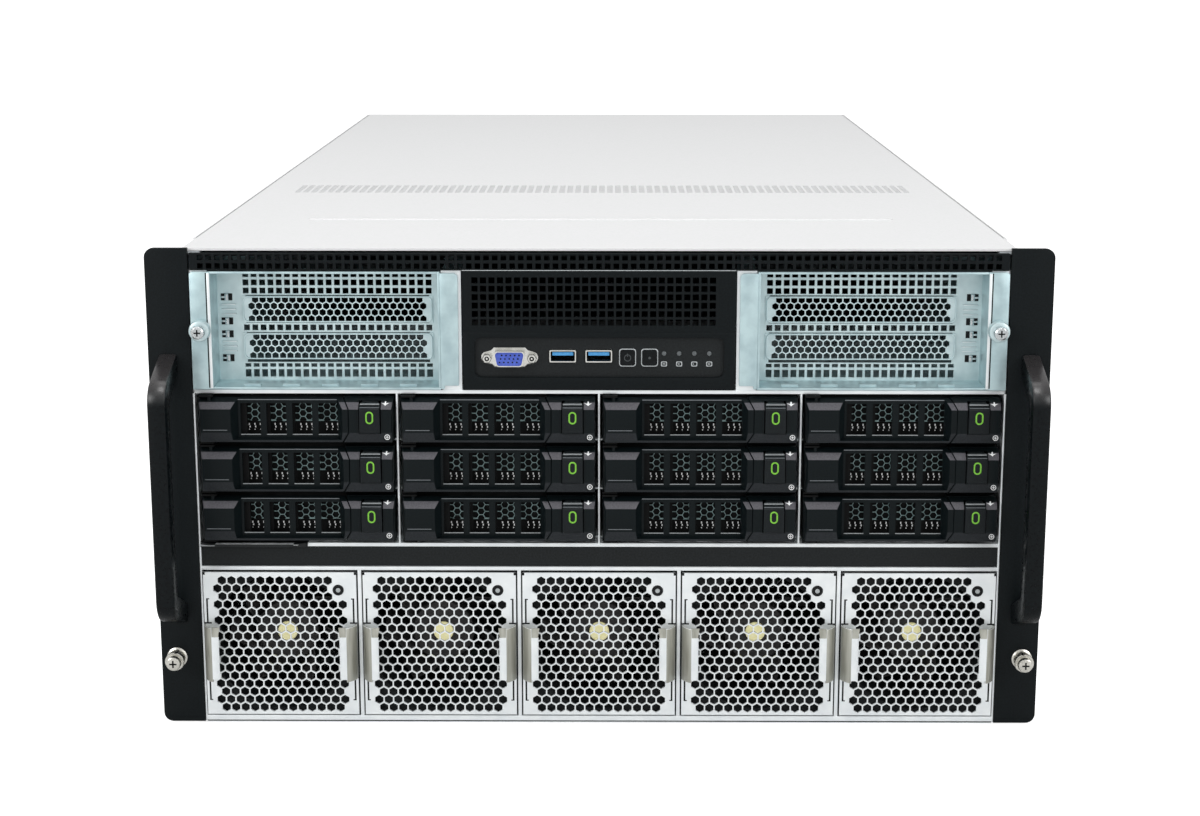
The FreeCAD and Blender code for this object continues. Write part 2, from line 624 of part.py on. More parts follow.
def release_button():
    """Push button with a level pad, and above it a slope with cut corners for the fingertip."""
    half_w, low, high, front = RELEASE_W / 2, RELEASE_LOW, RELEASE_HIGH, RELEASE_FRONT_Y
    back, edge, pad_top, slope_end, corner = 3.0, 0.6, 6.6, -2.6, 1.6
    section = [(back, low), (front + edge, low), (front, low + edge), (front, pad_top), (slope_end, high),
               (back, high)]
    outline = [(-half_w, low), (half_w, low), (half_w, high - corner), (half_w - corner, high),
               (corner - half_w, high), (-half_w, high - corner)]
    return beam(section, -half_w, half_w).common(sheet(outline, [], front - 1, back))


def drives():
    """Twelve carriers in rows from the top left: the tray with its disk, the lever and the button."""
    shapes = {"carrier": [carrier_tray(), fixed_bezel(), disk()], "lever": [lever_shape()],
              "button": [release_button()]}
    number = 0
    for row in range(DRIVE_ROWS):
        for column in range(DRIVE_COLUMNS):
            number += 1
            for kind, solids in shapes.items():
                inset = RELEASE_X if kind == "button" else 0
                place = V(drive_x(column) + inset, 0, drive_z(row))
                save(f"drive_{kind}_{number:02d}", [s.translated(place) for s in solids])


# Fan modules

def fan_face():
    """Honeycomb face plate with two side flanges and two grip tabs bent out of it."""
    half_w, half_h, front = FAN_FACE_W / 2, FAN_FACE_H / 2, -0.5
    holes = honeycomb(-FAN_MESH_HALF_W, FAN_MESH_HALF_W, -FAN_MESH_HALF_H, FAN_MESH_HALF_H, FAN_HEX_PITCH,
                      FAN_HEX_WEB, (FAN_LAMP_X, FAN_LAMP_Z, FAN_LAMP_R + FAN_HEX_PITCH / 2))
    plate = sheet(rectangle(-half_w, half_w, -half_h, half_h), holes, front, front + SHEET)
    flange_d, flange_half_h = 26.0, half_h - 1.5
    flange = box(half_w - SHEET, half_w, front + SHEET, flange_d, -flange_half_h, flange_half_h)
    tab_low, tab_high, tab_t = -19.1, 11.9, 1.0
    knee_y, lip_y, lip_x, end_x = -2.6, -9.4, half_w - 5.1, half_w - 8.9
    section = [(half_w, front), (half_w, knee_y), (lip_x, lip_y), (end_x, lip_y), (end_x, lip_y + tab_t),
               (lip_x - 0.4, lip_y + tab_t), (half_w - tab_t, knee_y + 0.4), (half_w - tab_t, front)]
    tab = bar(section, tab_low, tab_high)
    return plate.fuse(both_sides(flange) + both_sides(tab)).removeSplitter()


def fan_frame():
    """Square frame with a round duct, and four struts at the back that carry the motor's shaft."""
    half = FAN_FRAME / 2
    duct = regular(FAN_DUCT_SIDES, 0, 0, 2 * FAN_BORE_R)
    block = sheet(rectangle(-half, half, -half, half), [duct], FAN_FRAME_FRONT, FAN_FRAME_BACK)
    strut_t, strut_half_w, motor_r = 4.0, 3.0, 18.0
    back = FAN_FRAME_BACK - strut_t
    reach = FAN_BORE_R + 0.8
    struts = [box(-reach, reach, back, FAN_FRAME_BACK, -strut_half_w, strut_half_w),
              box(-strut_half_w, strut_half_w, back, FAN_FRAME_BACK, -reach, reach)]
    motor = sheet(regular(ROTOR_HUB_SIDES, 0, 0, 2 * motor_r), [], back, FAN_FRAME_BACK)
    frame = block.fuse([motor] + struts).removeSplitter()
    return frame.cut(sheet(regular(12, 0, 0, 2 * (SHAFT_R + SHAFT_GAP)), [], back - 1, FAN_FRAME_BACK + 1))


def fan_rotor():
    """Hub with its shaft and seven cambered blades."""
    hub_front, hub_back, root = 24.0, 54.0, ROTOR_HUB_R - 1.5
    hub = sheet(regular(ROTOR_HUB_SIDES, 0, 0, 2 * ROTOR_HUB_R), [], hub_front, hub_back)
    cap = sheet(regular(8, 0, 0, 9.6), [], hub_front - 1.5, hub_front)
    shaft = flatted_pin(SHAFT_R, V(0, hub_back, 0), V(0, FAN_FRAME_BACK - hub_back, 0))
    thickness = 2.0
    camber = [(-9.0, 26.0), (0.5, 36.0), (6.0, 50.0)]
    section = camber + [(t + thickness, y) for t, y in reversed(camber)]
    face = Part.Face(closed([V(t, y, root) for t, y in section]))
    blade = face.extrude(V(0, 0, ROTOR_TIP - root))
    turn = 360.0 / ROTOR_BLADES
    blades = [blade.rotated(V(0, 0, 0), V(0, 1, 0), turn * k) for k in range(ROTOR_BLADES)]
    return hub.fuse([cap, shaft] + blades)


def fans():
    lamp = sheet(regular(8, FAN_LAMP_X, FAN_LAMP_Z, 2 * FAN_LAMP_R), [], -1.3, -0.5)
    module = [fan_face(), fan_frame(), lamp]
    rotor = fan_rotor()
    for k in range(FAN_COUNT):
        place = V(FAN_PITCH * (k - (FAN_COUNT - 1) / 2), 0, FAN_MID_Z)
        save(f"fan_module_{k + 1}", [s.translated(place) for s in module])
        save(f"fan_rotor_{k + 1}", [rotor.translated(place)])


# Expansion cages

def slot_z(index):
    return SLOT_MID_Z + SLOT_PITCH * (0.5 - index)


def cage_shell():
    """Right cage: an open tray with a recessed slot wall and two flanges that lie on the front posts."""
    x0, x1 = CAGE_MID_X - CAGE_BOX_HALF_W, CAGE_MID_X + CAGE_BOX_HALF_W
    front, back = -1.0, CAGE_D
    floor = box(x0, x1, front, back, CAGE_BOTTOM_Z, CAGE_BOTTOM_Z + SHEET)
    outer_wall = box(x1 - SHEET, x1, front, back, CAGE_BOTTOM_Z, CAGE_TOP_Z)
    inner_wall = box(x0, x0 + SHEET, front, back, CAGE_BOTTOM_Z, CAGE_TOP_Z)
    roof = box(x0, x1, front, CAGE_RECESS + SHEET, CAGE_TOP_Z - SHEET, CAGE_TOP_Z)
    field_x0 = x0 + 6.0
    field_x1 = field_x0 + SLOT_COVER_W + 2.0
    holes = [rectangle(field_x0, field_x1, slot_z(i) - SLOT_COVER_H / 2 + 2.0,
                       slot_z(i) + SLOT_COVER_H / 2 - 2.0) for i in range(2)]
    holes += slots(field_x0, field_x1, 239.6, 249.8, 4, 2, 1.4)
    holes += slots(field_x0, field_x1, 192.6, 199.4, 4, 1, 1.4)
    inside = rectangle(x0 + SHEET, x1 - SHEET, CAGE_BOTTOM_Z + SHEET, CAGE_TOP_Z - SHEET)
    wall = sheet(inside, holes, CAGE_RECESS, CAGE_RECESS + SHEET)
    outer_flange = box(x1, x1 + CAGE_FLANGE_OUT - 2.2, front, front + SHEET, CAGE_BOTTOM_Z, CAGE_TOP_Z)
    inner_flange = box(x0 - CAGE_FLANGE_IN, x0, front, front + SHEET, CAGE_BOTTOM_Z + 1.2, CAGE_TOP_Z - 0.8)
    shell = floor.fuse([outer_wall, inner_wall, roof, wall, outer_flange, inner_flange]).removeSplitter()
    return shell.cut(sheet(regular(8, CAGE_MID_X + THUMB_OFFSET, THUMB_Z, 4.0), [], -3.0, 3.0))


def slot_cover(index):
    """Honeycomb cover that closes an unused card slot."""
    x0 = CAGE_MID_X - CAGE_BOX_HALF_W + 6.0
    x1 = x0 + SLOT_COVER_W + 2.0
    z = slot_z(index)
    holes = honeycomb(x0 + 3.0, x1 - 3.0, z - 6.4, z + 6.4, 16.0, 5.0)
    return sheet(rectangle(x0 - 1.0, x1 + 1.0, z - SLOT_COVER_H / 2, z + SLOT_COVER_H / 2), holes,
                 CAGE_RECESS - 1.0, CAGE_RECESS)


def thumbscrew():
    """Captive thumbscrew of the right cage: knob and shank."""
    at = (CAGE_MID_X + THUMB_OFFSET, THUMB_Z)
    knob = sheet(regular(12, *at, 10.4), [], -11.5, -1.0)
    return knob.fuse(sheet(regular(8, *at, 4.0), [], -1.0, 6.0))


def riser_board():
    """Board along the inner wall that the cards plug into."""
    x0 = CAGE_MID_X - CAGE_BOX_HALF_W + SHEET
    return box(x0, x0 + 1.6, CAGE_RECESS + 20.0, CAGE_D - 5.0, CAGE_BOTTOM_Z + 4.0, CAGE_TOP_Z - 4.0)


def cages():
    right = [cage_shell(), slot_cover(0), slot_cover(1), thumbscrew(), riser_board()]
    save("expansion_cage_right", right)
    save("expansion_cage_left", [s.mirror(V(0, 0, 0), V(1, 0, 0)) for s in right])


# Inside and rear

def finned_heatsink(x, y):
    """Processor heatsink: a base with a comb of upright fins."""
    half_w, length, base_h, top, fins = 39.0, 100.0, 8.0, 58.0, 7
    base_z, fin_t = 12.0, 1.6
    step = (2 * half_w - fin_t) / (fins - 1)
    starts = [x - half_w + step * k for k in range(fins)]
    comb = [box(u, u + fin_t, y, y + length, base_z + base_h, base_z + top) for u in starts]
    return box(x - half_w, x + half_w, y, y + length, base_z, base_z + base_h).fuse(comb).removeSplitter()


def circuit_boards():
    """Main board with its processors and memory, the drive backplane, the fan board and the card board."""
    board_t, stand_z = 1.6, 10.4
    sink_x, sink_y = (-100.0, 100.0), 300.0
    main = box(-205.0, 205.0, 200.0, 560.0, stand_z - board_t, stand_z)
    feet = [box(x - 3, x + 3, y - 3, y + 3, SHEET, stand_z - board_t)
            for x in (-195.0, 195.0) for y in (210.0, 550.0)]
    sockets = [box(x - 37.0, x + 37.0, sink_y + 2, sink_y + 98, stand_z, 12.0) for x in sink_x]
    sinks = [finned_heatsink(x, sink_y) for x in sink_x]
    memory_t, memory_step, memory_y = 4.0, 9.5, (283.5, 416.5)
    memory_x = [side + memory_step * k for side in (-196.0, -53.0, 15.0, 158.0) for k in range(4)]
    memory = [box(x, x + memory_t, *memory_y, stand_z, stand_z + 34.0) for x in memory_x]
    windows = slots(-200.0, 200.0, 110.0, 178.0, 4, 3, 14.0)
    backplane = sheet(rectangle(-216.0, 216.0, DRIVE_FLOOR_Z + RAIL_T, CAGE_FLOOR_Z), windows, BACKPLANE_Y,
                      BACKPLANE_Y + 2.4)
    fan_board = box(-216.0, 216.0, FAN_BAY_D + 2.0, FAN_BAY_D + 3.6, SHEET, 24.0)
    deck_top, lift = DECK_Z + SHEET, 4.0
    spacers = [box(x - 3, x + 3, y - 3, y + 3, deck_top, deck_top + lift)
               for x in (-195.0, 0.0, 195.0) for y in (600.0, 870.0)]
    card_board = box(-205.0, 205.0, 590.0, CASE_D - 12.0, deck_top + lift, deck_top + lift + 2.4)
    return [main, *feet, *sockets, *sinks, *memory, backplane, fan_board, *spacers, card_board]


def accelerator_card(index):
    """Double-width card: a shroud with cut-back front corners, its edge in the board and its rear bracket."""
    x, low = card_x(index), DECK_Z + SHEET + 6.4
    back, chamfer, edge_h = CASE_D - SHEET - 1.0, 8.0, 8.0
    front, half = back - CARD_L, CARD_T / 2
    section = [(x - half + chamfer, front), (x + half - chamfer, front), (x + half, front + chamfer),
               (x + half, back), (x - half, back), (x - half, front + chamfer)]
    shroud = bar(section, low + edge_h, low + CARD_H)
    edge = box(x - 0.8, x + 0.8, front + 60.0, back - 60.0, low, low + edge_h)
    bracket = box(x - half, x + half, back, back + 1.0, low + edge_h, low + CARD_H + 6.0)
    return shroud.fuse([edge, bracket]).removeSplitter()


def power_supply(index):
    """Plug-in supply: a long case whose rear wall carries an inlet recess and a folded pull tab."""
    x = supply_x(index)
    x0, x1, z0, z1 = x - SUPPLY_W / 2, x + SUPPLY_W / 2, SUPPLY_Z, SUPPLY_Z + SUPPLY_H
    case = box(x0, x1, CASE_D - SUPPLY_L, CASE_D + 1.0, z0, z1)
    inlet = box(x0 + 6.0, x0 + 34.0, CASE_D - 18.0, CASE_D + 2.0, z0 + 8.0, z0 + 30.0)
    tab = box(x1 - 30.0, x1 - 8.0, CASE_D + 1.0, CASE_D + SUPPLY_TAB_REACH, z0 + 18.0, z0 + 21.0)
    foot = box(x0, x1, CASE_D - SUPPLY_L, CASE_D - SHEET, SHEET, z0)
    return case.cut(inlet).fuse([tab, foot]).removeSplitter()


def build():
    os.makedirs("parts", exist_ok=True)
    save("chassis_shell", [chassis_tray(), rear_wall(), deck()])
    save("top_cover", [top_cover()])
    save("bay_frame", shelves() + dividers() + drive_guides() + cage_posts())
    save("rack_ears", both_sides(rack_ear()) + [s for piece in rack_screw() for s in both_sides(piece)])
    save("pull_handles", both_sides(pull_handle()))
    sockets = video_socket() + [s for x in USB_X for s in usb_socket(x)]
    plates = [vent_strip(), control_plate(), socket_plate(), blank_strip(), io_board()]
    save("front_panel", plates + sockets + lamps())
    save("power_button", [panel_button(POWER_X)])
    save("locator_button", [panel_button(LOCATOR_X)])
    save("pull_tag", [pull_tag()])
    drives()
    fans()
    cages()
    save("circuit_boards", circuit_boards())
    save("accelerator_cards", [accelerator_card(i) for i in range(CARD_COUNT)])
    save("power_supplies", [power_supply(i) for i in range(SUPPLY_COUNT)])


build()
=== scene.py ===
# Six-unit rack server, dressed in the order in which it is put together. Lengths are millimetres, counted
# as in the part's source: y = 0 is the front of the rack ears, +y runs to the rear, z = 0 is the underside.
import math
import bmesh
import bpy
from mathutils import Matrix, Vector


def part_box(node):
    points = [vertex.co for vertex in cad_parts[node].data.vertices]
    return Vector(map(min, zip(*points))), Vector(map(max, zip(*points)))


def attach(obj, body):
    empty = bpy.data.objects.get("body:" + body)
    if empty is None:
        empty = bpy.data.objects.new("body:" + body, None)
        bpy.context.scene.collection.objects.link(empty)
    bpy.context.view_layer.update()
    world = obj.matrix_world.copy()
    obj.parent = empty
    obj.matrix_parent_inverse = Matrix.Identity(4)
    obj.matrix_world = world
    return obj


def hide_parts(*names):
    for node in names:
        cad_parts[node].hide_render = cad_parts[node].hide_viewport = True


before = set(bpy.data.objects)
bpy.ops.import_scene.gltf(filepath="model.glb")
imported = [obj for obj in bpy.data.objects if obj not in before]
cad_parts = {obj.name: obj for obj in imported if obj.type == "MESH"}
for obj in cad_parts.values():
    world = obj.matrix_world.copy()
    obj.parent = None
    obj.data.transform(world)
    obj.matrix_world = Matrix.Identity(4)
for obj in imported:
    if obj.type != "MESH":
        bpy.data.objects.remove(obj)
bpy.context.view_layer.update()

# ---- Case ----------------------------------------------------------------------------------------------
# Floor, side walls, rear wall and the shelf between the decks. Folded zinc-plated steel sheet, spot-welded
# into one tray; the rear wall is backed by honeycomb vents that are riveted on from inside.

MM = 0.001
EAR_T = 3.0
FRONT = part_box("chassis_shell")[0][1] - EAR_T * MM
CASE_D, WALL_X, STUD_Z = 900.0, 222.0, 133.0
VENT_HALF, VENT_Y, VENT_PITCH, VENT_HOLE = 203, (898.0, 898.75), 5.2, 4.2
# Every finish in the order made. Faces are marked with their place here; 0 is the piece's own finish.
finishes = [None]


def colour(code):
    """sRGB hex to linear RGBA."""
    parts = [int(code[i:i + 2], 16) / 255 for i in (1, 3, 5)]
    return [p / 12.92 if p <= 0.04045 else ((p + 0.055) / 1.055) ** 2.4 for p in parts] + [1.0]


def add(tree, kind, links=None, **settings):
    """Adds one node, sets it up, and links or sets its inputs."""
    node = tree.nodes.new(kind)
    for name, value in settings.items():
        setattr(node, name, value)
    for socket, value in (links or {}).items():
        if isinstance(value, bpy.types.NodeSocket):
            tree.links.new(value, node.inputs[socket])
        else:
            node.inputs[socket].default_value = value
    return node


def finish(name, light, dark, grain, rough, bump=0.0, metallic=0.0, stretch=(1, 1, 1), specular=0.5,
           sockets=None):
    """A surface whose colour, gloss and height wander over a grain of a real size in millimetres."""
    material = bpy.data.materials.new(name)
    material.use_nodes = True
    tree = material.node_tree
    shader = tree.nodes["Principled BSDF"]
    for socket, value in {"Metallic": metallic, "Specular IOR Level": specular, **(sockets or {})}.items():
        shader.inputs[socket].default_value = value
    where = add(tree, "ShaderNodeTexCoord").outputs["Object"]
    drawn = add(tree, "ShaderNodeMapping", {"Vector": where, "Scale": stretch}).outputs["Vector"]
    noise = add(tree, "ShaderNodeTexNoise", {"Vector": drawn, "Scale": 1 / (grain * MM), "Detail": 3.0})
    spread = {"Value": noise.outputs["Fac"], "From Min": 0.35, "From Max": 0.65}
    share = add(tree, "ShaderNodeMapRange", spread).outputs["Result"]
    tint = add(tree, "ShaderNodeMix", {0: share, 6: colour(dark), 7: colour(light)}, data_type="RGBA")
    tree.links.new(tint.outputs[2], shader.inputs["Base Color"])
    gloss = add(tree, "ShaderNodeMapRange", {**spread, "To Min": rough[0], "To Max": rough[1]})
    tree.links.new(gloss.outputs["Result"], shader.inputs["Roughness"])
    if bump:
        lift = add(tree, "ShaderNodeBump", {"Height": noise.outputs["Fac"], "Distance": bump * MM})
        tree.links.new(lift.outputs["Normal"], shader.inputs["Normal"])
    finishes.append(material)
    return material


def coat(node, material):
    """Gives a carried-over solid its finish."""
    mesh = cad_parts[node].data
    mesh.materials.clear()
    mesh.materials.append(material)


def paint(faces, material):
    """Marks faces with a finish; without one they keep the finish of their piece."""
    for face in faces:
        face.material_index = finishes.index(material)


def soften(bm, faces, width):
    """Rounds the sharp edges of the faces just made."""
    bmesh.ops.recalc_face_normals(bm, faces=faces)
    edges = {e for f in faces for e in f.edges if e.is_manifold and e.calc_face_angle() > 0.5}
    bmesh.ops.bevel(bm, geom=list(edges), offset=width, segments=2, profile=0.5, affect="EDGES",
                    clamp_overlap=True)


def skin(bm, rings, material=None, soft=0.0):
    """Joins closed rings of points, first to last, and caps both ends."""
    verts = [[bm.verts.new(p) for p in ring] for ring in rings]
    faces = [bm.faces.new(verts[0]), bm.faces.new(verts[-1])]
    for low, high in zip(verts, verts[1:]):
        faces += [bm.faces.new((low[i], low[i + 1], high[i + 1], high[i])) for i in range(-1, len(low) - 1)]
    paint(faces, material)
    if soft:
        soften(bm, faces, soft)


def slab(bm, x, y, z, material=None, soft=0.0):
    """A block between pairs of x, y and z."""
    rings = [[(x[0], b, z[0]), (x[1], b, z[0]), (x[1], b, z[1]), (x[0], b, z[1])] for b in y]
    skin(bm, rings, material, soft)


def settle(bm, part, place, material):
    """Adds a mesh with its points put in place by a function and its faces in one finish."""
    for vert in part.verts:
        vert.co = place(*vert.co)
    paint(part.faces, material)
    passing = bpy.data.meshes.new("passing")
    part.to_mesh(passing)
    part.free()
    bm.from_mesh(passing)
    bpy.data.meshes.remove(passing)


def tree_of(name, sizes):
    """A geometry tree with named inputs: the tree, the inputs' sockets and what they give inside it."""
    tree = bpy.data.node_groups.new(name, "GeometryNodeTree")
    inputs = {label: tree.interface.new_socket(label, in_out="INPUT", socket_type="NodeSocket" + kind)
              for label, kind in (*sizes, ("Stock", "Material"))}
    tree.interface.new_socket("Mesh", in_out="OUTPUT", socket_type="NodeSocketGeometry")
    return tree, inputs, add(tree, "NodeGroupInput").outputs


def close_tree(tree, given, spread):
    """Ends a tree in real geometry of its stock."""
    real = add(tree, "GeometryNodeRealizeInstances", {0: spread.outputs[0]})
    done = add(tree, "GeometryNodeSetMaterial", {"Geometry": real.outputs[0], "Material": given["Stock"]})
    add(tree, "NodeGroupOutput", {0: done.outputs[0]})


def grown(tree, inputs, values):
    """The plain mesh that a geometry tree gives for these values."""
    stand_in = bpy.data.objects.new("stand_in", bpy.data.meshes.new("stand_in"))
    bpy.context.collection.objects.link(stand_in)
    modifier = stand_in.modifiers.new("grow", "NODES")
    modifier.node_group = tree
    for label, value in values.items():
        modifier[inputs[label].identifier] = value
    mesh = bpy.data.meshes.new_from_object(stand_in.evaluated_get(bpy.context.evaluated_depsgraph_get()))
    stand_in.modifiers.remove(modifier)
    bpy.data.objects.remove(stand_in)
    part = bmesh.new()
    part.from_mesh(mesh)
    return part


def sheet_tree():
    """Grid points, every second row shifted: holed cells inside the field, plain ones outside it."""
    floats = ("Pitch", "Row Step", "Row Shift", "Hole", "Depth", "Half Width", "Half Height", "Clear Radius")
    tree, inputs, given = tree_of("perforated_sheet", (
        ("Columns", "Int"), ("Rows", "Int"), ("Sides", "Int"), ("Clear At", "Vector"),
        *((label, "Float") for label in floats)))

    def sum_of(operation, a, b=0.0):
        return add(tree, "ShaderNodeMath", {0: a, 1: b}, operation=operation).outputs[0]

    def moved(node, to):
        return add(tree, "GeometryNodeTransform", {"Geometry": node.outputs[0], "Translation": to})

    sides, pitch, step, depth = (given[label] for label in ("Sides", "Pitch", "Row Step", "Depth"))
    gaps_x = sum_of("SUBTRACT", given["Columns"], 1)
    gaps_y = sum_of("SUBTRACT", given["Rows"], 1)
    grid = add(tree, "GeometryNodeMeshGrid", {
        "Size X": sum_of("MULTIPLY", gaps_x, pitch), "Vertices X": given["Columns"],
        "Size Y": sum_of("MULTIPLY", gaps_y, step), "Vertices Y": given["Rows"]})
    here = add(tree, "GeometryNodeInputPosition").outputs[0]
    at = add(tree, "ShaderNodeSeparateXYZ", {0: here}).outputs
    row = sum_of("ADD", sum_of("DIVIDE", at["Y"], step), sum_of("MULTIPLY", gaps_y, 0.5))
    odd = sum_of("MODULO", sum_of("ROUND", row), 2.0)
    shift = add(tree, "ShaderNodeCombineXYZ", {"X": sum_of("MULTIPLY", odd, given["Row Shift"])})
    points = add(tree, "GeometryNodeSetPosition", {"Geometry": grid.outputs["Mesh"],
                                                   "Offset": shift.outputs[0]})
    wide = sum_of("LESS_THAN", sum_of("ABSOLUTE", at["X"]), given["Half Width"])
    high = sum_of("LESS_THAN", sum_of("ABSOLUTE", at["Y"]), given["Half Height"])
    away = add(tree, "ShaderNodeVectorMath", {0: here, 1: given["Clear At"]}, operation="DISTANCE")
    clear = sum_of("GREATER_THAN", away.outputs["Value"], given["Clear Radius"])
    holed = sum_of("MULTIPLY", sum_of("MULTIPLY", wide, high), clear)
    plain = sum_of("SUBTRACT", 1.0, holed)
    half_turn = sum_of("DIVIDE", math.pi, sides)
    corner = sum_of("COSINE", half_turn)
    outer = sum_of("DIVIDE", sum_of("MULTIPLY", pitch, 0.5), corner)
    inner = sum_of("DIVIDE", sum_of("MULTIPLY", given["Hole"], 0.5), corner)
    back = add(tree, "ShaderNodeCombineXYZ", {"Z": depth}).outputs[0]
    middle = add(tree, "ShaderNodeCombineXYZ", {"Z": sum_of("MULTIPLY", depth, 0.5)}).outputs[0]
    face = add(tree, "GeometryNodeMeshCone", {"Vertices": sides, "Radius Top": inner, "Radius Bottom": outer,
                                              "Depth": 0.0}, fill_type="NONE")
    wall = add(tree, "GeometryNodeMeshCylinder", {"Vertices": sides, "Radius": inner, "Depth": depth},
               fill_type="NONE")
    lid = add(tree, "GeometryNodeMeshCircle", {"Vertices": sides, "Radius": outer}, fill_type="NGON")
    turn = add(tree, "ShaderNodeCombineXYZ", {"Z": half_turn}).outputs[0]
    sheet = add(tree, "GeometryNodeJoinGeometry")
    for members, chosen in (((face, moved(face, back), moved(wall, middle)), holed),
                            ((lid, moved(lid, back)), plain)):
        cell = add(tree, "GeometryNodeJoinGeometry")
        for member in members:
            tree.links.new(member.outputs[0], cell.inputs[0])
        cell = add(tree, "GeometryNodeTransform", {"Geometry": cell.outputs[0], "Rotation": turn})
        cells = add(tree, "GeometryNodeInstanceOnPoints", {"Points": points.outputs[0], "Selection": chosen,
                                                           "Instance": cell.outputs[0]})
        tree.links.new(cells.outputs[0], sheet.inputs[0])
    close_tree(tree, given, sheet)
    return tree, inputs


# The one perforated sheet that every vent of the object is cut from.
vent_sheet = sheet_tree()


def perforated(bm, rect, depth, holes, pitch, hole, material, sides=6, wide=False, clear=(0, 0, -1),
               lay="xz"):
    """A sheet with holes. rect is its left, right, low and high edge, depth its front and back,
    holes the middle of the field with its columns and rows. lay names the axes that rect runs along."""
    cx, cz, columns, rows = holes
    step = pitch * (math.sqrt(3) / 2 if sides == 6 else 1)
    more_columns = max(0, math.ceil((max(rect[1] - cx, cx - rect[0]) / pitch - columns / 2))) + 1
    more_rows = 2 * (max(0, math.ceil((max(rect[3] - cz, cz - rect[2]) / step - rows / 2) / 2)) + 1)
    cut = grown(*vent_sheet, {
        "Columns": columns + 2 * more_columns, "Rows": rows + 2 * more_rows, "Sides": sides, "Pitch": pitch,
        "Row Step": step, "Row Shift": -pitch / 2 if sides == 6 else 0.0, "Hole": hole,
        "Depth": depth[1] - depth[0], "Half Width": pitch * (columns / 2 - (-0.1 if wide else 0.4)),
        "Half Height": step * (rows / 2 - 0.4), "Clear At": (clear[0], clear[1], 0), "Clear Radius": clear[2],
        "Stock": material})
    bmesh.ops.remove_doubles(cut, verts=cut.verts, dist=0.02)
    for axis, low, high in ((0, rect[0] - cx, rect[1] - cx), (1, rect[2] - cz, rect[3] - cz)):
        for edge, sign in ((low, -1), (high, 1)):
            where, facing = Vector((0, 0, 0)), Vector((0, 0, 0))
            where[axis], facing[axis] = edge, sign
            bmesh.ops.bisect_plane(cut, geom=cut.verts[:] + cut.edges[:] + cut.faces[:], dist=0.005,
                                   plane_co=where, plane_no=facing, clear_outer=True)
    bmesh.ops.bridge_loops(cut, edges=[e for e in cut.edges if e.is_boundary])

    def place(x, y, z):
        a, b, deep = x + cx, y + cz, z + depth[0]
        return {"xz": (a, deep, b), "zx": (b, deep, a), "xy": (a, b, deep)}[lay]

    settle(bm, cut, place, material)


def piece(name, bm, body, own, slot, nodes=(), mirror=False, at=(0, 0, 0)):
    """Turns a mesh in millimetres into a piece that rides on a body. own is the finish of unmarked faces."""
    for vert in bm.verts:
        x, y, z = vert.co + Vector(at)
        vert.co = ((-x if mirror else x) * MM, y * MM + FRONT, z * MM)
    bm.normal_update()
    bmesh.ops.recalc_face_normals(bm, faces=bm.faces)
    coats = [finishes[face.material_index] or own for face in bm.faces]
    mesh = bpy.data.meshes.new(name)
    for material in dict.fromkeys([own, *coats]):
        mesh.materials.append(material)
    for face, material in zip(bm.faces, coats):
        face.material_index = mesh.materials.find(material.name)
    bm.to_mesh(mesh)
    bm.free()
    mesh.polygons.foreach_set("use_smooth", [True] * len(mesh.polygons))
    mesh.set_sharp_from_angle(angle=math.radians(32))
    thing = bpy.data.objects.new(name, mesh)
    bpy.context.collection.objects.link(thing)
    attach(thing, body)
    if nodes:
        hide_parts(*nodes)


def rounded(x0, x1, z0, z1, radius, steps=6):
    """Corners of a rounded rectangle. radius is one number, or one for each corner from low left round."""
    radii = radius if isinstance(radius, tuple) else (radius,) * 4
    corners = ((x0, z0, 1, 1, 180), (x1, z0, -1, 1, 270), (x1, z1, -1, -1, 0), (x0, z1, 1, -1, 90))
    points = []
    for (x, z, sx, sz, start), r in zip(corners, radii):
        turns = [math.radians(start + 90 * k / steps) for k in range(steps + 1)] if r else [0.0]
        points += [(x + (sx + math.cos(a)) * r, z + (sz + math.sin(a)) * r) for a in turns]
    return points


def plate(bm, loops, span, material=None, soft=0.0, axis="y"):
    """A flat plate with holes: the outline first, then the holes. span is its two faces along the axis."""
    def place(p, h):
        return {"x": (h, *p), "y": (p[0], h, p[1]), "z": (*p, h)}[axis]

    faces, rims = [], ([], [])
    for loop in loops:
        low, high = ([bm.verts.new(place(p, h)) for p in loop] for h in span)
        ring = range(-1, len(loop) - 1)
        faces += [bm.faces.new((low[i], low[i + 1], high[i + 1], high[i])) for i in ring]
        for rim, verts in zip(rims, (low, high)):
            rim += [bm.edges.get((verts[i], verts[i + 1])) for i in ring]
    for rim in rims:
        filled = bmesh.ops.triangle_fill(bm, use_beauty=True, edges=rim)["geom"]
        faces += [f for f in filled if isinstance(f, bmesh.types.BMFace)]
    paint(faces, material)
    if soft:
        soften(bm, faces, soft)


def row_tree(name, sizes, shape):
    """A geometry tree that sets equal shapes in a straight row."""
    tree, inputs, given = tree_of(name, (("Count", "Int"), ("Step", "Vector"), *sizes))
    line = add(tree, "GeometryNodeMeshLine", {"Count": given["Count"], "Offset": given["Step"]})
    row = add(tree, "GeometryNodeInstanceOnPoints", {"Points": line.outputs[0],
                                                     "Instance": shape(tree, given).outputs["Mesh"]})
    close_tree(tree, given, row)
    return tree, inputs


def rivet_head(tree, given):
    """A low cone with a flat top."""
    crown = add(tree, "ShaderNodeMath", {0: given["Radius"], 1: 0.65}, operation="MULTIPLY").outputs[0]
    return add(tree, "GeometryNodeMeshCone", {"Vertices": 14, "Radius Top": crown,
                                              "Radius Bottom": given["Radius"], "Depth": given["Height"]})


rivet_row = row_tree("row_of_rivets", (("Radius", "Float"), ("Height", "Float")), rivet_head)


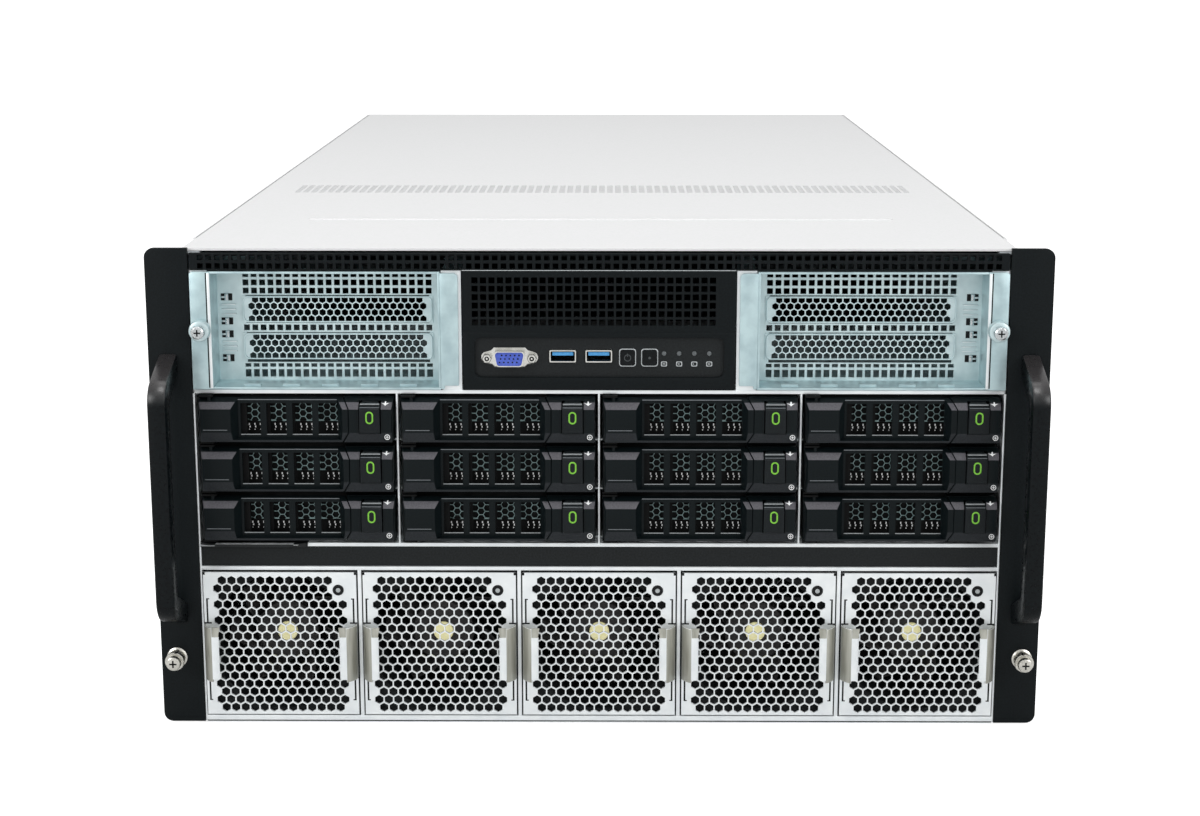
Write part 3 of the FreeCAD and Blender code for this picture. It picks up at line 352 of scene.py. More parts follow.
def rivets(bm, count, first, step, radius, height, side, material):
    """A row of heads on a side wall (side -1 or 1) or on the rear (side 0); step is along and up."""
    row = grown(*rivet_row, {"Count": count, "Step": (*step, 0), "Radius": radius, "Height": height,
                             "Stock": material})
    x, y, z = first
    settle(bm, row, lambda along, up, out: (x + side * out, y + along, z + up) if side else
           (x + along, y + out, z + up), material)


# Zinc plating on cold-rolled steel: pale, slightly blue, with soft streaks along the rolling direction.
zinc = finish("zinc_plated_steel", "#DDE3E6", "#CFD7DB", 2.5, (0.32, 0.42), 0.002, 0.7, (1, 0.05, 1))
coat("chassis_shell", zinc)

rear = bmesh.new()
for low, high in ((55.0, 89.0), (223.0, 251.0)):
    field = (0, (low + high) / 2, 76, int((high - low - 3) / VENT_PITCH))
    perforated(rear, (-VENT_HALF, VENT_HALF, low, high), VENT_Y, field, VENT_PITCH, VENT_HOLE, zinc)
for count, x, z, step in ((11, -205, 96, (41, 0)), (11, -205, 257, (41, 0)), (6, -215, 20, (0, 45)),
                          (6, 215, 20, (0, 45))):
    rivets(rear, count, (x, CASE_D, z), step, 2.4, 0.7, 0, zinc)
piece("rear_vents", rear, "case", zinc, "zinc_sheet")

# Machined studs that hang the case in its rails: bright turned steel.
stud_steel = finish("turned_stud_steel", "#D3D5D6", "#B9BCBE", 0.8, (0.24, 0.34), metallic=1.0)
walls = bmesh.new()
for side in (-1, 1):
    for count, y, z, step in ((12, 62, 9, (75, 0)), (10, 200, 96, (75, 0)), (5, 52, 34, (0, 48)),
                              (5, 888, 34, (0, 48))):
        rivets(walls, count, (side * WALL_X, y, z), step, 2.6, 0.9, side, stud_steel)
    for out, radius, height in ((0, 8.0, 1.2), (1.0, 3.4, 5.0), (5.0, 5.4, 2.4)):
        rivets(walls, 3, (side * (WALL_X + out), 110, STUD_Z), (320, 0), radius, height, side, stud_steel)
    for z in (52, 202):
        bead = (side * (WALL_X - 0.1), side * (WALL_X + 1.2))
        plate(walls, [rounded(150, 800, z, z + 9, 4.4)], bead, soft=0.9, axis="x")
piece("wall_rivets", walls, "case", zinc, "zinc_sheet")

# ---- Bay frame -----------------------------------------------------------------------------------------
# Shelves and dividers that part the front into bays. Zinc-plated steel sheet, riveted to the case; their
# cut front edges show as the bright lines between drives and fans.

SHELF_FRONT, HALF_W = 0.5, 217.3
DRIVE_PITCH_X, DRIVE_PITCH_Z, DRIVE_MID_Z, FAN_PITCH = 108.6, 27.4, 145.4, 87.4
FAN_FLOOR, FAN_ROOF, DRIVE_FLOOR, DRIVE_ROOF = 4.1, 87.9, 103.4, 186.6
TAG_SLOT_X, TAG_SLOT_Y = -158.9, 55.4

# A matt black coat throws back little of a white room.
DULL = 0.12
# A cut and burnished zinc edge: brighter and smoother than the sheet behind it.
bright_zinc = finish("burnished_zinc_steel", "#EFF3F4", "#E6EBED", 9.0, (0.32, 0.4), 0.002, 0.5, (1, 0.2, 1))
# Seams between the shelves and what slides in, and holes, slits and gaps elsewhere: bare steel painted near
# black as their shade.
painted_shade = finish("painted_shade_steel", "#1E2021", "#141516", 0.5, (0.5, 0.6), specular=DULL)

bays = bmesh.new()
for low, high, depth in ((DRIVE_ROOF, 188.6, 215), (FAN_ROOF, 89.9, 130), (1.2, FAN_FLOOR, 130)):
    slab(bays, (-HALF_W, HALF_W), (SHELF_FRONT, depth), (low, high), soft=0.15)
slab(bays, (TAG_SLOT_X, HALF_W), (SHELF_FRONT, 172), (101.4, DRIVE_FLOOR), soft=0.15)
slab(bays, (-HALF_W, TAG_SLOT_X), (TAG_SLOT_Y, 172), (101.4, DRIVE_FLOOR))
slab(bays, (-HALF_W, TAG_SLOT_X), (4, TAG_SLOT_Y + 6), (100.8, 101.4))
for x in (-DRIVE_PITCH_X, 0, DRIVE_PITCH_X):
    slab(bays, (x - 0.5, x + 0.5), (SHELF_FRONT, 169), (DRIVE_FLOOR, DRIVE_ROOF), soft=0.1)
for x in [FAN_PITCH * (k - 1.5) for k in range(4)]:
    slab(bays, (x - 1, x + 1), (SHELF_FRONT, 130), (FAN_FLOOR, FAN_ROOF), soft=0.15)
    # Painted shade: a dark strip behind each fan divider, showing as the gap either side of it.
    slab(bays, (x - 1.25, x + 1.25), (SHELF_FRONT + 0.7, 128), (FAN_FLOOR, FAN_ROOF), painted_shade)
for side in (-1, 1):
    slab(bays, (side * HALF_W, side * 218.5), (3.4, 215), (1.2, 253.4))
    slab(bays, (side * HALF_W, side * 218.3), (SHELF_FRONT, 3.4), (1.2, DRIVE_ROOF), soft=0.15)
    for inner, outer in ((208.4, HALF_W), (73.4, 84.0)):
        slab(bays, (side * inner, side * outer), (1.0, 2.5), (188.6, 253.4))
    for k in range(12):
        x, z = DRIVE_PITCH_X * (k % 4 - 1.5), DRIVE_MID_Z + DRIVE_PITCH_Z * (k // 4 - 1) - 13.9
        slab(bays, (x + side * 51.3, x + side * 53.8), (10, 158), (z, z + 0.8))
slab(bays, (-HALF_W, HALF_W), (0.7, 3.0), (0.1, 0.7), soft=0.15)
# Painted shade: a dark strip under the bottom shelf's front edge.
slab(bays, (-HALF_W, HALF_W), (0.45, 3.0), (0.7, 1.3), painted_shade)
piece("bays", bays, "case", bright_zinc, "zinc_sheet", ["bay_frame"])

# ---- Circuit boards ------------------------------------------------------------------------------------
# Main board with processors under finned heatsinks and memory beside them, the drive backplane, the fan
# board and the card board. Glass-epoxy laminate with soldered parts, screwed down on standoffs.

BOARD_LOW, BOARD_TOP, CARD_BOARD = 8.8, 10.4, (101.2, 103.6)

# Extruded aluminium: even pale grey with fine draw lines up the fins.
aluminium = finish("extruded_aluminium", "#D6D8DA", "#BFC3C6", 2.0, (0.28, 0.38), 0.01, 1.0, (1, 1, 0.1))
# Nylon connector: dull off-black with a fine moulded grain.
nylon = finish("moulded_black_nylon", "#191B1C", "#101112", 0.8, (0.5, 0.6), 0.01, specular=DULL)


def solder_mask():
    """Green lacquer over copper: dark ground with lighter tracks a millimetre or two apart."""
    material = finish("green_solder_mask", "#1F5A3C", "#174A30", 12.0, (0.28, 0.36))
    tree = material.node_tree
    tracks = add(tree, "ShaderNodeTexBrick", {
        "Vector": add(tree, "ShaderNodeTexCoord").outputs["Object"], "Color1": colour("#1B5236"),
        "Color2": colour("#236443"), "Mortar": colour("#123C26"), "Scale": 1 / (9 * MM), "Mortar Size": 0.03,
        "Brick Width": 1.7, "Row Height": 0.21})
    tree.links.new(tracks.outputs["Color"], tree.nodes["Principled BSDF"].inputs["Base Color"])
    return material


fin_row = row_tree("row_of_fins", (("Size", "Vector"),), lambda tree, given: add(
    tree, "GeometryNodeMeshCube", {"Size": given["Size"]}))


def fins(bm, count, start, step, size, material):
    """A row of equal blocks; start is the low corner of the first."""
    row = grown(*fin_row, {"Count": count, "Step": step, "Size": size, "Stock": material})
    first = [a + s / 2 for a, s in zip(start, size)]
    settle(bm, row, lambda *p: [a + b for a, b in zip(p, first)], material)


mask = solder_mask()
boards = bmesh.new()
slab(boards, (-205, 205), (200, 560), (BOARD_LOW, BOARD_TOP))
slab(boards, (-205, 205), (590, 888), CARD_BOARD)
slab(boards, (-216, 216), (132, 133.6), (1.2, 24))
perforated(boards, (-216, 216, DRIVE_FLOOR, DRIVE_ROOF), (169, 171.4), (0, 145, 11, 2), 36, 24, mask, sides=4)
for across, along, z in (((-195, 195), (210, 550), (1.2, BOARD_LOW)),
                         ((-195, 0, 195), (600, 870), (97.2, CARD_BOARD[0]))):
    for x in across:
        for y in along:
            slab(boards, (x - 3, x + 3), (y - 3, y + 3), z, aluminium)
for x in (-100.0, 100.0):
    slab(boards, (x - 37, x + 37), (302, 398), (BOARD_TOP, 12), nylon)
    slab(boards, (x - 39, x + 39), (300, 400), (12, 20), aluminium, 0.5)
    fins(boards, 27, (x - 39, 300, 20), (2.97, 0, 0), (0.8, 100, 50), aluminium)
for x in (-196.0, -53.0, 15.0, 158.0):
    fins(boards, 4, (x, 283.5, BOARD_TOP), (9.5, 0, 0), (4.0, 133, 5), nylon)
    fins(boards, 4, (x + 1.4, 285.5, BOARD_TOP + 5), (9.5, 0, 0), (1.2, 129, 29), mask)
    for k in range(4):
        fins(boards, 9, (x + 0.9 + 9.5 * k, 289, 20), (0, 14, 0), (2.2, 10, 13), nylon)
for y in (225.0, 245.0, 440.0, 470.0):
    fins(boards, 14, (-180.0, y, BOARD_TOP), (26.5, 0, 0), (7, 7, 9), aluminium)
fins(boards, 6, (-190.0, 500.0, BOARD_TOP), (64.0, 0, 0), (48, 8, 11), nylon)
fins(boards, 12, (-200.0, 163.5, 118.0), (36.0, 0, 0), (9, 5.5, 4), nylon)
piece("boards", boards, "case", mask, "board", ["circuit_boards"])

# ---- Accelerator cards ---------------------------------------------------------------------------------
# Eight double-width cards in a row behind the fans. Each is a board under a black moulded shroud that ducts
# the air through to a punched steel bracket, which is screwed to the rear wall.

CARD_PITCH, CARD_FIRST = 50.0, -175.0

# Painted aluminium shroud: satin black with a faint sparkle.
shroud_black = finish("satin_black_paint", "#1D1F20", "#141617", 1.5, (0.38, 0.5), 0.008, specular=DULL)
coat("accelerator_cards", shroud_black)

brackets = bmesh.new()
for x in [CARD_FIRST + CARD_PITCH * k for k in range(8)]:
    perforated(brackets, (x - 8.8, x + 8.8, 110.4, 204.6), (898.85, 899.5), (x, 157.5, 3, 21), 4.6, 3.6,
               bright_zinc)
    slab(brackets, (x - 15, x + 15), (640, 880), (214.7, 215.3), shroud_black, 0.2)
    fins(brackets, 9, (x - 14, 655, 215.2), (0, 26, 0), (28, 3, 0.7), shroud_black)
rivets(brackets, 8, (CARD_FIRST, CASE_D, 209.0), (CARD_PITCH, 0), 3.2, 1.6, 0, bright_zinc)
piece("card_brackets", brackets, "case", bright_zinc, "card_shroud")

# ---- Power supplies ------------------------------------------------------------------------------------
# Four plug-in supplies side by side at the bottom of the rear. Zinc-plated cases with a mains inlet, a
# honeycomb outlet and a black moulded pull tab; they slide in on the floor and latch.

SUPPLY_PITCH, SUPPLY_HALF, SUPPLY_LOW = 78.0, 36.75, 6.0
INLET_Y, SUPPLY_FACE = (882.5, 902.5), 901.0

coat("power_supplies", zinc)
# Brass pin under nickel: warm bright metal.
nickel = finish("nickel_plated_brass", "#D8D6CF", "#C2C0B8", 1.0, (0.2, 0.3), metallic=1.0)
# Lit lens: a small green diffuser.
green_lens = finish("green_diffuser", "#5FC25A", "#49A845", 1.0, (0.2, 0.3))

supplies = bmesh.new()
for k in range(4):
    middle, z0 = SUPPLY_PITCH * (k - 1.5), SUPPLY_LOW
    x0, x1 = middle - SUPPLY_HALF, middle + SUPPLY_HALF
    for edge in (x0 + 6, x0 + 33):
        slab(supplies, (edge, edge + 1), INLET_Y, (z0 + 8, z0 + 30), nylon)
    for edge in (z0 + 8, z0 + 29):
        slab(supplies, (x0 + 7, x0 + 33), INLET_Y, (edge, edge + 1), nylon)
    slab(supplies, (x0 + 7, x0 + 33), (882.2, 884), (z0 + 9, z0 + 29), nylon)
    for x, z in ((x0 + 13, z0 + 16), (x0 + 27, z0 + 16), (x0 + 20, z0 + 23)):
        slab(supplies, (x - 1, x + 1), (884, 896), (z - 3, z + 3), nickel, 0.3)
    for low, high, mid in ((22.5, 37.5, 30), (2, 16.5, 9.2)):
        perforated(supplies, (x0 + 38, x1 - 2, z0 + low, z0 + high), (SUPPLY_FACE + 0.02, SUPPLY_FACE + 0.7),
                   (x0 + 54.75, z0 + mid, 5, 2), 5.4, 4.4, bright_zinc)
        # Painted shade: a dark sheet behind each outlet for the dark inside.
        slab(supplies, (x0 + 39, x1 - 3), (SUPPLY_FACE - 0.1, SUPPLY_FACE + 0.05),
             (z0 + low + 0.5, z0 + high - 0.5), painted_shade)
    slab(supplies, (x1 - 31, x1 - 7), (902, 920), (z0 + 17, z0 + 22), nylon, 0.8)
    slab(supplies, (x0 + 10, x0 + 13), (SUPPLY_FACE, SUPPLY_FACE + 1), (z0 + 33, z0 + 36), green_lens, 0.3)
piece("supply_fronts", supplies, "case", bright_zinc, "supply_case")

# ---- Rack ears -----------------------------------------------------------------------------------------
# Plates that carry the server in the rack. Three-millimetre steel with rounded outer corners, bent to an
# angle and powder-coated black, each with a spring-loaded captive screw in a plated cup.

EAR_INNER, EAR_OUTER, EAR_LOW, EAR_HIGH, EAR_ROUND = 218.4, 241.3, 0.6, 265.2, 5
SCREW_X, SCREW_Z = 232.55, 38.1
CUP = [(4.5, -9.0), (4.9, -9.0), (5.2, -8.6), (5.2, -7.4), (4.7, -7.0), (4.7, -1.4), (5.6, -0.9), (5.6, 0.0)]
SCREW_HEAD = [(2.9, -13.0), (3.7, -12.6), (4.0, -11.8), (4.0, -6.5), (2.2, -6.4), (2.2, 3.5)]
SCREW_THREAD = [(2.2, 3.4), (2.5, 3.7), (2.5, 11.4), (1.9, 12.0)]


def circle(x, z, radius, sides=48):
    """Points round a circle."""
    turns = [2 * math.pi * k / sides for k in range(sides)]
    return [(x + radius * math.cos(a), z + radius * math.sin(a)) for a in turns]


def turned(bm, x, z, profile, material, sides=28):
    """A turned part about an axis along y. The profile is radius and y, from front to back."""
    skin(bm, [[(a, y, b) for a, b in circle(x, z, radius, sides)] for radius, y in profile], material)


def cross(bm, x, z, depth, thin, long, material):
    """The two bars of a cross: the dark cross in a screw head, which is painted shade, or a plus sign."""
    for w, h in ((thin, long), (long, thin)):
        slab(bm, (x - w, x + w), depth, (z - h, z + h), material)


# Black polyester powder coat on steel: near black, satin, with a fine orange peel drawn at 1 mm so it shows.
powder_black = finish("black_powder_coat", "#0F1517", "#090D0F", 1.0, (0.42, 0.55), 0.03, specular=DULL)

ears = bmesh.new()
for side in (-1, 1):
    left, right = sorted((side * EAR_INNER, side * EAR_OUTER))
    radii = (0, EAR_ROUND, EAR_ROUND, 0) if side > 0 else (EAR_ROUND, 0, 0, EAR_ROUND)
    plate(ears, [rounded(left, right, EAR_LOW, EAR_HIGH, radii)], (0, EAR_T), soft=0.5)
    slab(ears, (side * WALL_X, side * 223.2), (EAR_T, 40), (EAR_LOW, EAR_HIGH - 20), soft=0.3)
    for profile in (CUP, SCREW_HEAD, SCREW_THREAD):
        turned(ears, side * SCREW_X, SCREW_Z, profile, nickel)
    # The cross in the screw head is painted shade.
    cross(ears, side * SCREW_X, SCREW_Z, (-13.04, -12.4), 0.45, 2.0, painted_shade)
piece("ears", ears, "case", powder_black, "black_coat", ["rack_ears"])

# ---- Pull handles --------------------------------------------------------------------------------------
# Two bars to draw the server out by. Flat aluminium bar bent to a shallow trapezoid with round edges, painted
# satin black and screwed to the ears from behind.

HANDLE_X, HANDLE_W, HANDLE_REACH, HANDLE_MID_Z = 230.5, 10.0, 36.0, 133.35
FOOT_Z, GRIP_Z, BAR_T = 75.5, 63.0, 11.0


def bent(points, radii, steps=7):
    """A closed outline with an arc at each corner that has a radius."""
    outline = []
    for i, corner in enumerate(points):
        if not radii[i]:
            outline.append(corner)
            continue
        here = Vector(corner)
        to_last, to_next = ((Vector(points[j]) - here).normalized() for j in (i - 1, (i + 1) % len(points)))
        half = to_last.angle(to_next) / 2
        middle = here + (to_last + to_next).normalized() * radii[i] / math.sin(half)
        reach = radii[i] / math.tan(half)
        start, stop = here + to_last * reach - middle, here + to_next * reach - middle
        spokes = [start.lerp(stop, k / steps).normalized() * radii[i] for k in range(steps + 1)]
        outline += [tuple(middle + spoke) for spoke in spokes]
    return outline


def bar_enamel():
    """Satin enamel on flat bar: near black on the grip, painted grey where it faces up for the light from
    above, and glossier round the upper bend, which hands rub."""
    material = finish("satin_black_enamel", "#0D1214", "#080B0D", 2.0, (0.26, 0.34), 0.01)
    tree = material.node_tree
    shader = tree.nodes["Principled BSDF"]
    facing = add(tree, "ShaderNodeNewGeometry").outputs["Normal"]
    up = add(tree, "ShaderNodeSeparateXYZ", {0: facing}).outputs["Z"]
    # Painted light: faces that turn up are mixed towards grey.
    top_light = add(tree, "ShaderNodeMapRange", {"Value": up, "From Min": 0.3, "From Max": 0.9},
               interpolation_type="SMOOTHSTEP").outputs["Result"]
    clean = shader.inputs["Base Color"].links[0].from_socket
    tint = add(tree, "ShaderNodeMix", {0: top_light, 6: clean, 7: colour("#2E2C2D")}, data_type="RGBA")
    tree.links.new(tint.outputs[2], shader.inputs["Base Color"])
    sheen = add(tree, "ShaderNodeMapRange", {"Value": up, "From Min": 0.0, "From Max": 0.5, "To Min": DULL,
                                             "To Max": 0.6}, interpolation_type="SMOOTHSTEP")
    tree.links.new(sheen.outputs["Result"], shader.inputs["Specular IOR Level"])
    return material


handles = bmesh.new()
foot_in, grip_in = FOOT_Z - BAR_T - 1, GRIP_Z - BAR_T
bar_path = [(0, FOOT_Z), (-HANDLE_REACH, GRIP_Z), (-HANDLE_REACH, -GRIP_Z), (0, -FOOT_Z), (0, -foot_in),
            (BAR_T - HANDLE_REACH, -grip_in), (BAR_T - HANDLE_REACH, grip_in), (0, foot_in)]
bar_outline = bent([(y, HANDLE_MID_Z + z) for y, z in bar_path], [0, 14, 14, 0, 0, 6, 6, 0])
for x in (-HANDLE_X, HANDLE_X):
    plate(handles, [bar_outline], (x - HANDLE_W / 2, x + HANDLE_W / 2), soft=1.8, axis="x")
piece("handles", handles, "case", bar_enamel(), "black_bar", ["pull_handles"])

# ---- Front panel ---------------------------------------------------------------------------------------
# Black punched strip along the top edge, the control panel between the cages and a plain strip below the
# drives. Powder-coated steel; a recessed plate holds a fifteen-way video socket, two bus sockets and lamps.

PANEL_HALF, PANEL_LOW, PANEL_HIGH, STRIP_HIGH = 72.8, 188.6, 253.4, 262.6
PANEL_SHEET, PLATE_SHEET, CAGE_EDGE = (0, 2.0), (2.02, 3.4), 84
WINDOW = (-66.4, 66.8, 195.6, 217.2)
WINDOW_TOP = WINDOW[3] + 3
VIDEO_X, VIDEO_Z, BUS_X, BUS_Z = -47.9, 206.0, (-19.4, -0.1), 207.0
BUTTON_X, BUTTON_Z, BUTTON_W, BUTTON_H = (15.3, 27.1), 206.2, 7.6, 8.2
LAMP_X, LAMP_Z, MARK_Y = (34.8, 42.9, 51.0, 59.0), 208.4, (1.94, 2.02)
SOCKET_SEAT, CONTACT, POST_HOLE = 3.45, [(0.5, -1.64), (0.5, -1.5)], [(1.3, -1.64), (1.3, -1.5)]

# The plain strip's coat is rubbed by hands and greyer.
worn_black = finish("rubbed_black_powder_coat", "#232627", "#1C1E1F", 1.0, (0.4, 0.5), 0.03, specular=DULL)
# Screen print: matt pale grey ink. The same pale grey also makes a painted highlight along the control
# panel's top edge.
pale_print_and_highlight = finish("pale_grey_print_and_highlight", "#C6CBCD", "#B4BABC", 1.0, (0.55, 0.65))
# Video socket insert: glossy blue thermoplastic.
blue_insert = finish("blue_moulded_thermoplastic", "#4A63C8", "#3C53B4", 1.0, (0.35, 0.45))
# Bus socket tongue: lighter blue thermoplastic.
blue_tongue = finish("light_blue_thermoplastic", "#4FA3E0", "#3F8FCB", 1.0, (0.35, 0.45))
# Unlit lens: grey smoked acrylic.
grey_lens = finish("smoked_acrylic_lens", "#5E6365", "#4C5153", 0.8, (0.12, 0.2))
# Socket shells: tinned steel, bright and smooth, with a slight waviness from pressing.
tin_plate = finish("tin_plated_steel", "#E4E4E0", "#CFCFCA", 5.0, (0.16, 0.26), metallic=1.0)


def button_outline(x, margin, radius):
    """A panel button's outline with a margin all round it."""
    half_w, half_h = BUTTON_W / 2 + margin, BUTTON_H / 2 + margin
    return rounded(x - half_w, x + half_w, BUTTON_Z - half_h, BUTTON_Z + half_h, radius)


panel = bmesh.new()
perforated(panel, (-HALF_W, HALF_W, PANEL_HIGH, STRIP_HIGH), PANEL_SHEET, (0, 258.0, 93, 2), 4.6, 3.0,
           powder_black, sides=4)
slab(panel, (-HALF_W, HALF_W), (2.0, 14), (260.8, 262.0))
perforated(panel, (-PANEL_HALF, PANEL_HALF, WINDOW_TOP, PANEL_HIGH), PANEL_SHEET, (-2.8, 236.8, 29, 6), 4.52,
           3.3, powder_black, sides=4)
plate(panel, [rounded(-PANEL_HALF, PANEL_HALF, PANEL_LOW, WINDOW_TOP, 0), rounded(*WINDOW, 3.5)], PANEL_SHEET,
      soft=0.25)
# Painted highlight: a thin pale line along the control panel's top edge.
slab(panel, (-PANEL_HALF, PANEL_HALF), (-0.06, 0.3), (PANEL_HIGH - 0.1, PANEL_HIGH + 0.2), pale_print_and_highlight)
slab(panel, (-HALF_W, HALF_W), (2.0, 3.5), (89.9, 101.4), worn_black)

# The recessed plate, with a cut for every socket and button.
arc = [math.radians(15 * k - 75) for k in range(11)]
half_way = [(9.4, -3.9), *((12 + 3.3 * math.cos(a), 3.3 * math.sin(a)) for a in arc), (9.8, 4.0), (8.4, 5.5)]
socket_cut = [(8.0, -5.3), *half_way] + [(-x, z) for x, z in reversed(half_way)] + [(-8.0, -5.3)]
cuts = [rounded(x - 7.4, x + 7.4, BUS_Z - 3.6, BUS_Z + 3.6, 0.8) for x in BUS_X]
cuts += [button_outline(x, 0.26, 1.2) for x in BUTTON_X]
cuts.append([(VIDEO_X + x, VIDEO_Z + z) for x, z in socket_cut])
behind = rounded(WINDOW[0] - 2, WINDOW[1] + 2, WINDOW[2] - 2, WINDOW[3] + 2, 0)
plate(panel, [behind] + cuts, PLATE_SHEET, worn_black)
for x in BUTTON_X:
    plate(panel, [button_outline(x, e, 1.2 + e / 2) for e in (0.72, 0.28)], (1.5, 2.02), pale_print_and_highlight)

# The board behind it, a dark sheet of painted shade on the shelf under the board so that the holes show
# black, and the strip's return over the cages, also in painted shade.
slab(panel, (-66, 66), (5.6, 60), (202.1, 203.7), mask)
slab(panel, (-CAGE_EDGE, CAGE_EDGE), (16, 214), (188.62, 188.8), painted_shade)
for side in (-1, 1):
    slab(panel, (side * CAGE_EDGE, side * HALF_W), (2.0, 30), (253.05, PANEL_HIGH), painted_shade)

# The video socket: flange, shell, insert with its contacts, and a hollow hexagon post at each end.
slab(panel, (VIDEO_X - 15.4, VIDEO_X + 15.4), (SOCKET_SEAT, 4.4), (VIDEO_Z - 6.2, VIDEO_Z + 6.2), tin_plate)
shell = []
for e in (0, 0.5):
    corners = ((e - 6.9, e - 4.2), (6.9 - e, e - 4.2), (8.4 - e, 4.2 - e), (e - 8.4, 4.2 - e))
    shell.append(bent([(VIDEO_X + x, VIDEO_Z + z) for x, z in corners], [1.6] * 4, 4))
plate(panel, shell, (-2.6, SOCKET_SEAT), tin_plate)
plate(panel, [shell[1]], (-1.6, SOCKET_SEAT), blue_insert)
for k in range(15):
    row, column = k // 5 - 1, k % 5 - 2
    # Each contact hole is a dark mark of painted shade.
    turned(panel, VIDEO_X + 2.3 * column + 0.6 * row, VIDEO_Z + 1.9 * row, CONTACT, painted_shade, 8)
for x in (VIDEO_X - 12, VIDEO_X + 12):
    turned(panel, x, VIDEO_Z, [(2.3, -1.6), (2.6, -1.2), (2.6, SOCKET_SEAT)], tin_plate, 6)
    # Painted shade in the post's hole.
    turned(panel, x, VIDEO_Z, POST_HOLE, painted_shade, 16)
    turned(panel, x, VIDEO_Z, [(0.5, -1.7), (0.6, -1.6)], tin_plate, 12)

# The bus sockets, and the lamps with a printed frame under each.
for x in BUS_X:
    rings = [rounded(x - 7.1 + e, x + 7.1 - e, BUS_Z - 3.3 + e, BUS_Z + 3.3 - e, 0.6) for e in (0, 0.6)]
    plate(panel, rings, (0.8, 16), tin_plate)
    # Painted shade at the back of the socket.
    slab(panel, (x - 6.5, x + 6.5), (15, 16), (BUS_Z - 2.7, BUS_Z + 2.7), painted_shade)
    slab(panel, (x - 5.6, x + 5.6), (2.2, 15), (BUS_Z + 0.2, BUS_Z + 2.0), blue_tongue)
for k, x in enumerate(LAMP_X):
    turned(panel, x, LAMP_Z, [(0.7, 1.3), (1.15, 1.5), (1.3, 2.02)], grey_lens, 16)
    mark = [rounded(x - 1.6 + e, x + 1.6 - e, 201.4 + e, 204.0 - e, 0.5, 2) for e in (0, 0.35)]
    plate(panel, mark, MARK_Y, pale_print_and_highlight)
    slab(panel, (x - 0.8, x + 0.8 - 0.5 * k % 1.2), MARK_Y, (202.5, 202.9), pale_print_and_highlight)
piece("panel", panel, "case", powder_black, "black_coat", ["front_panel"])

# ---- Panel buttons -------------------------------------------------------------------------------------
# Two square push buttons, power and locator. Moulded black polycarbonate caps on tact switches of the board
# behind, each with a faint printed sign: a ring with a bar, and a plain dot.

SIGN_Y = (0.56, 0.62)

# Faint print on the caps: dark grey ink that hardly shows.
faint_print = finish("dark_grey_screen_print", "#3C4143", "#34383A", 1.0, (0.5, 0.6))
# Polycarbonate: smooth glossy black.
polycarbonate = finish("moulded_black_polycarbonate", "#141719", "#0D0F10", 1.5, (0.18, 0.26), specular=DULL)

for x, name, body in zip(BUTTON_X, ("power_button", "locator_button"), ("power_key", "locator_key")):
    cap = bmesh.new()
    plate(cap, [button_outline(x, 0, 1.0)], (0.6, 4.4), soft=0.5)
    if name == "power_button":
        plate(cap, [circle(x, BUTTON_Z, radius, 24) for radius in (1.9, 1.5)], SIGN_Y, faint_print)
        slab(cap, (x - 0.2, x + 0.2), (0.54, 0.62), (BUTTON_Z + 0.6, BUTTON_Z + 2.4), faint_print)
    else:
        turned(cap, x, BUTTON_Z, [(0.7, y) for y in SIGN_Y], faint_print, 16)
    piece(name + "_cap", cap, body, polycarbonate, "button_cap", [name])

# ---- Pull tag ------------------------------------------------------------------------------------------
# Flat tag that slides out from under the left drives. Moulded black polypropylene with a wedge-shaped lip to
# pull it by; it lies loose in a slot of the shelf.

TAG_LEFT, TAG_RIGHT, TAG_BACK = -217.0, -159.3, 55
LIP = ((-217.3, TAG_RIGHT, -0.95, 101.2, 103.8), (-211.3, -165.3, -2.6, 101.8, 103.2))

# Moulded polypropylene: charcoal with a slightly waxy sheen.
polypropylene = finish("moulded_black_polypropylene", "#1C1F21", "#141617", 1.2, (0.4, 0.5), 0.012,
                       specular=0.25)
# Its upper edge, with a painted highlight where the light catches it.
tag_edge_highlight = finish("polypropylene_edge_highlight", "#C4C8C9", "#A4A8AA", 4.0, (0.4, 0.5))

tag = bmesh.new()
slab(tag, (TAG_LEFT, TAG_RIGHT), (-1, TAG_BACK), (101.7, 103.2), soft=0.2)
skin(tag, [[(left, y, low), (right, y, low), (right, y, high), (left, y, high)]
           for left, right, y, low, high in LIP], soft=0.2)
# Painted highlights along the lip's upper edge.
for x, z in (((TAG_LEFT, -209.0), 102.3), ((-208.6, -166.0), 103.45), ((-166.2, -163.4), 102.8)):
    slab(tag, x, (-3.2, -0.9), (z, z + 0.4), tag_edge_highlight, 0.1)
piece("tag_leaf", tag, "tag", polypropylene, "tag_plastic", ["pull_tag"])

# ---- Expansion cages -----------------------------------------------------------------------------------
# Two trays for expansion cards, each with a recessed slot wall, two honeycomb slot covers and a captive
# thumbscrew. Folded zinc-plated steel with a pale blue-green passivation, slid in and screwed to the posts.

CAGE_IN, CAGE_OUT, CAGE_LOW, CAGE_HIGH, CAGE_FRONT, CAGE_BACK = 84.6, 207.8, 189.0, 252.8, -1, 205.0
SHEET, WALL_Y, SLOT_PITCH = 1.2, 20.0, 4.5
FIELD_X, COVER_Z, CLIP_X = (91.0, 192.4), (229.26, 208.94), 198.6
THUMB_X, THUMB_Z = 212.4, 221.5
THUMB_CUP = [(4.4, -6.4), (5.3, -6.0), (5.7, -5.2), (5.7, -1.9), (4.9, -1.4), (4.9, -1.0)]
THUMB_HEAD = [(2.7, -11.5), (3.5, -11.0), (3.7, -10.2), (3.7, -6.2)]

# Blue-passivated zinc: pale blue-green metal with a soft sheen and faint clouding.
passivated = finish("blue_passivated_zinc", "#BDD3D6", "#A8BFC4", 9.0, (0.32, 0.44), 0.008, 0.55)
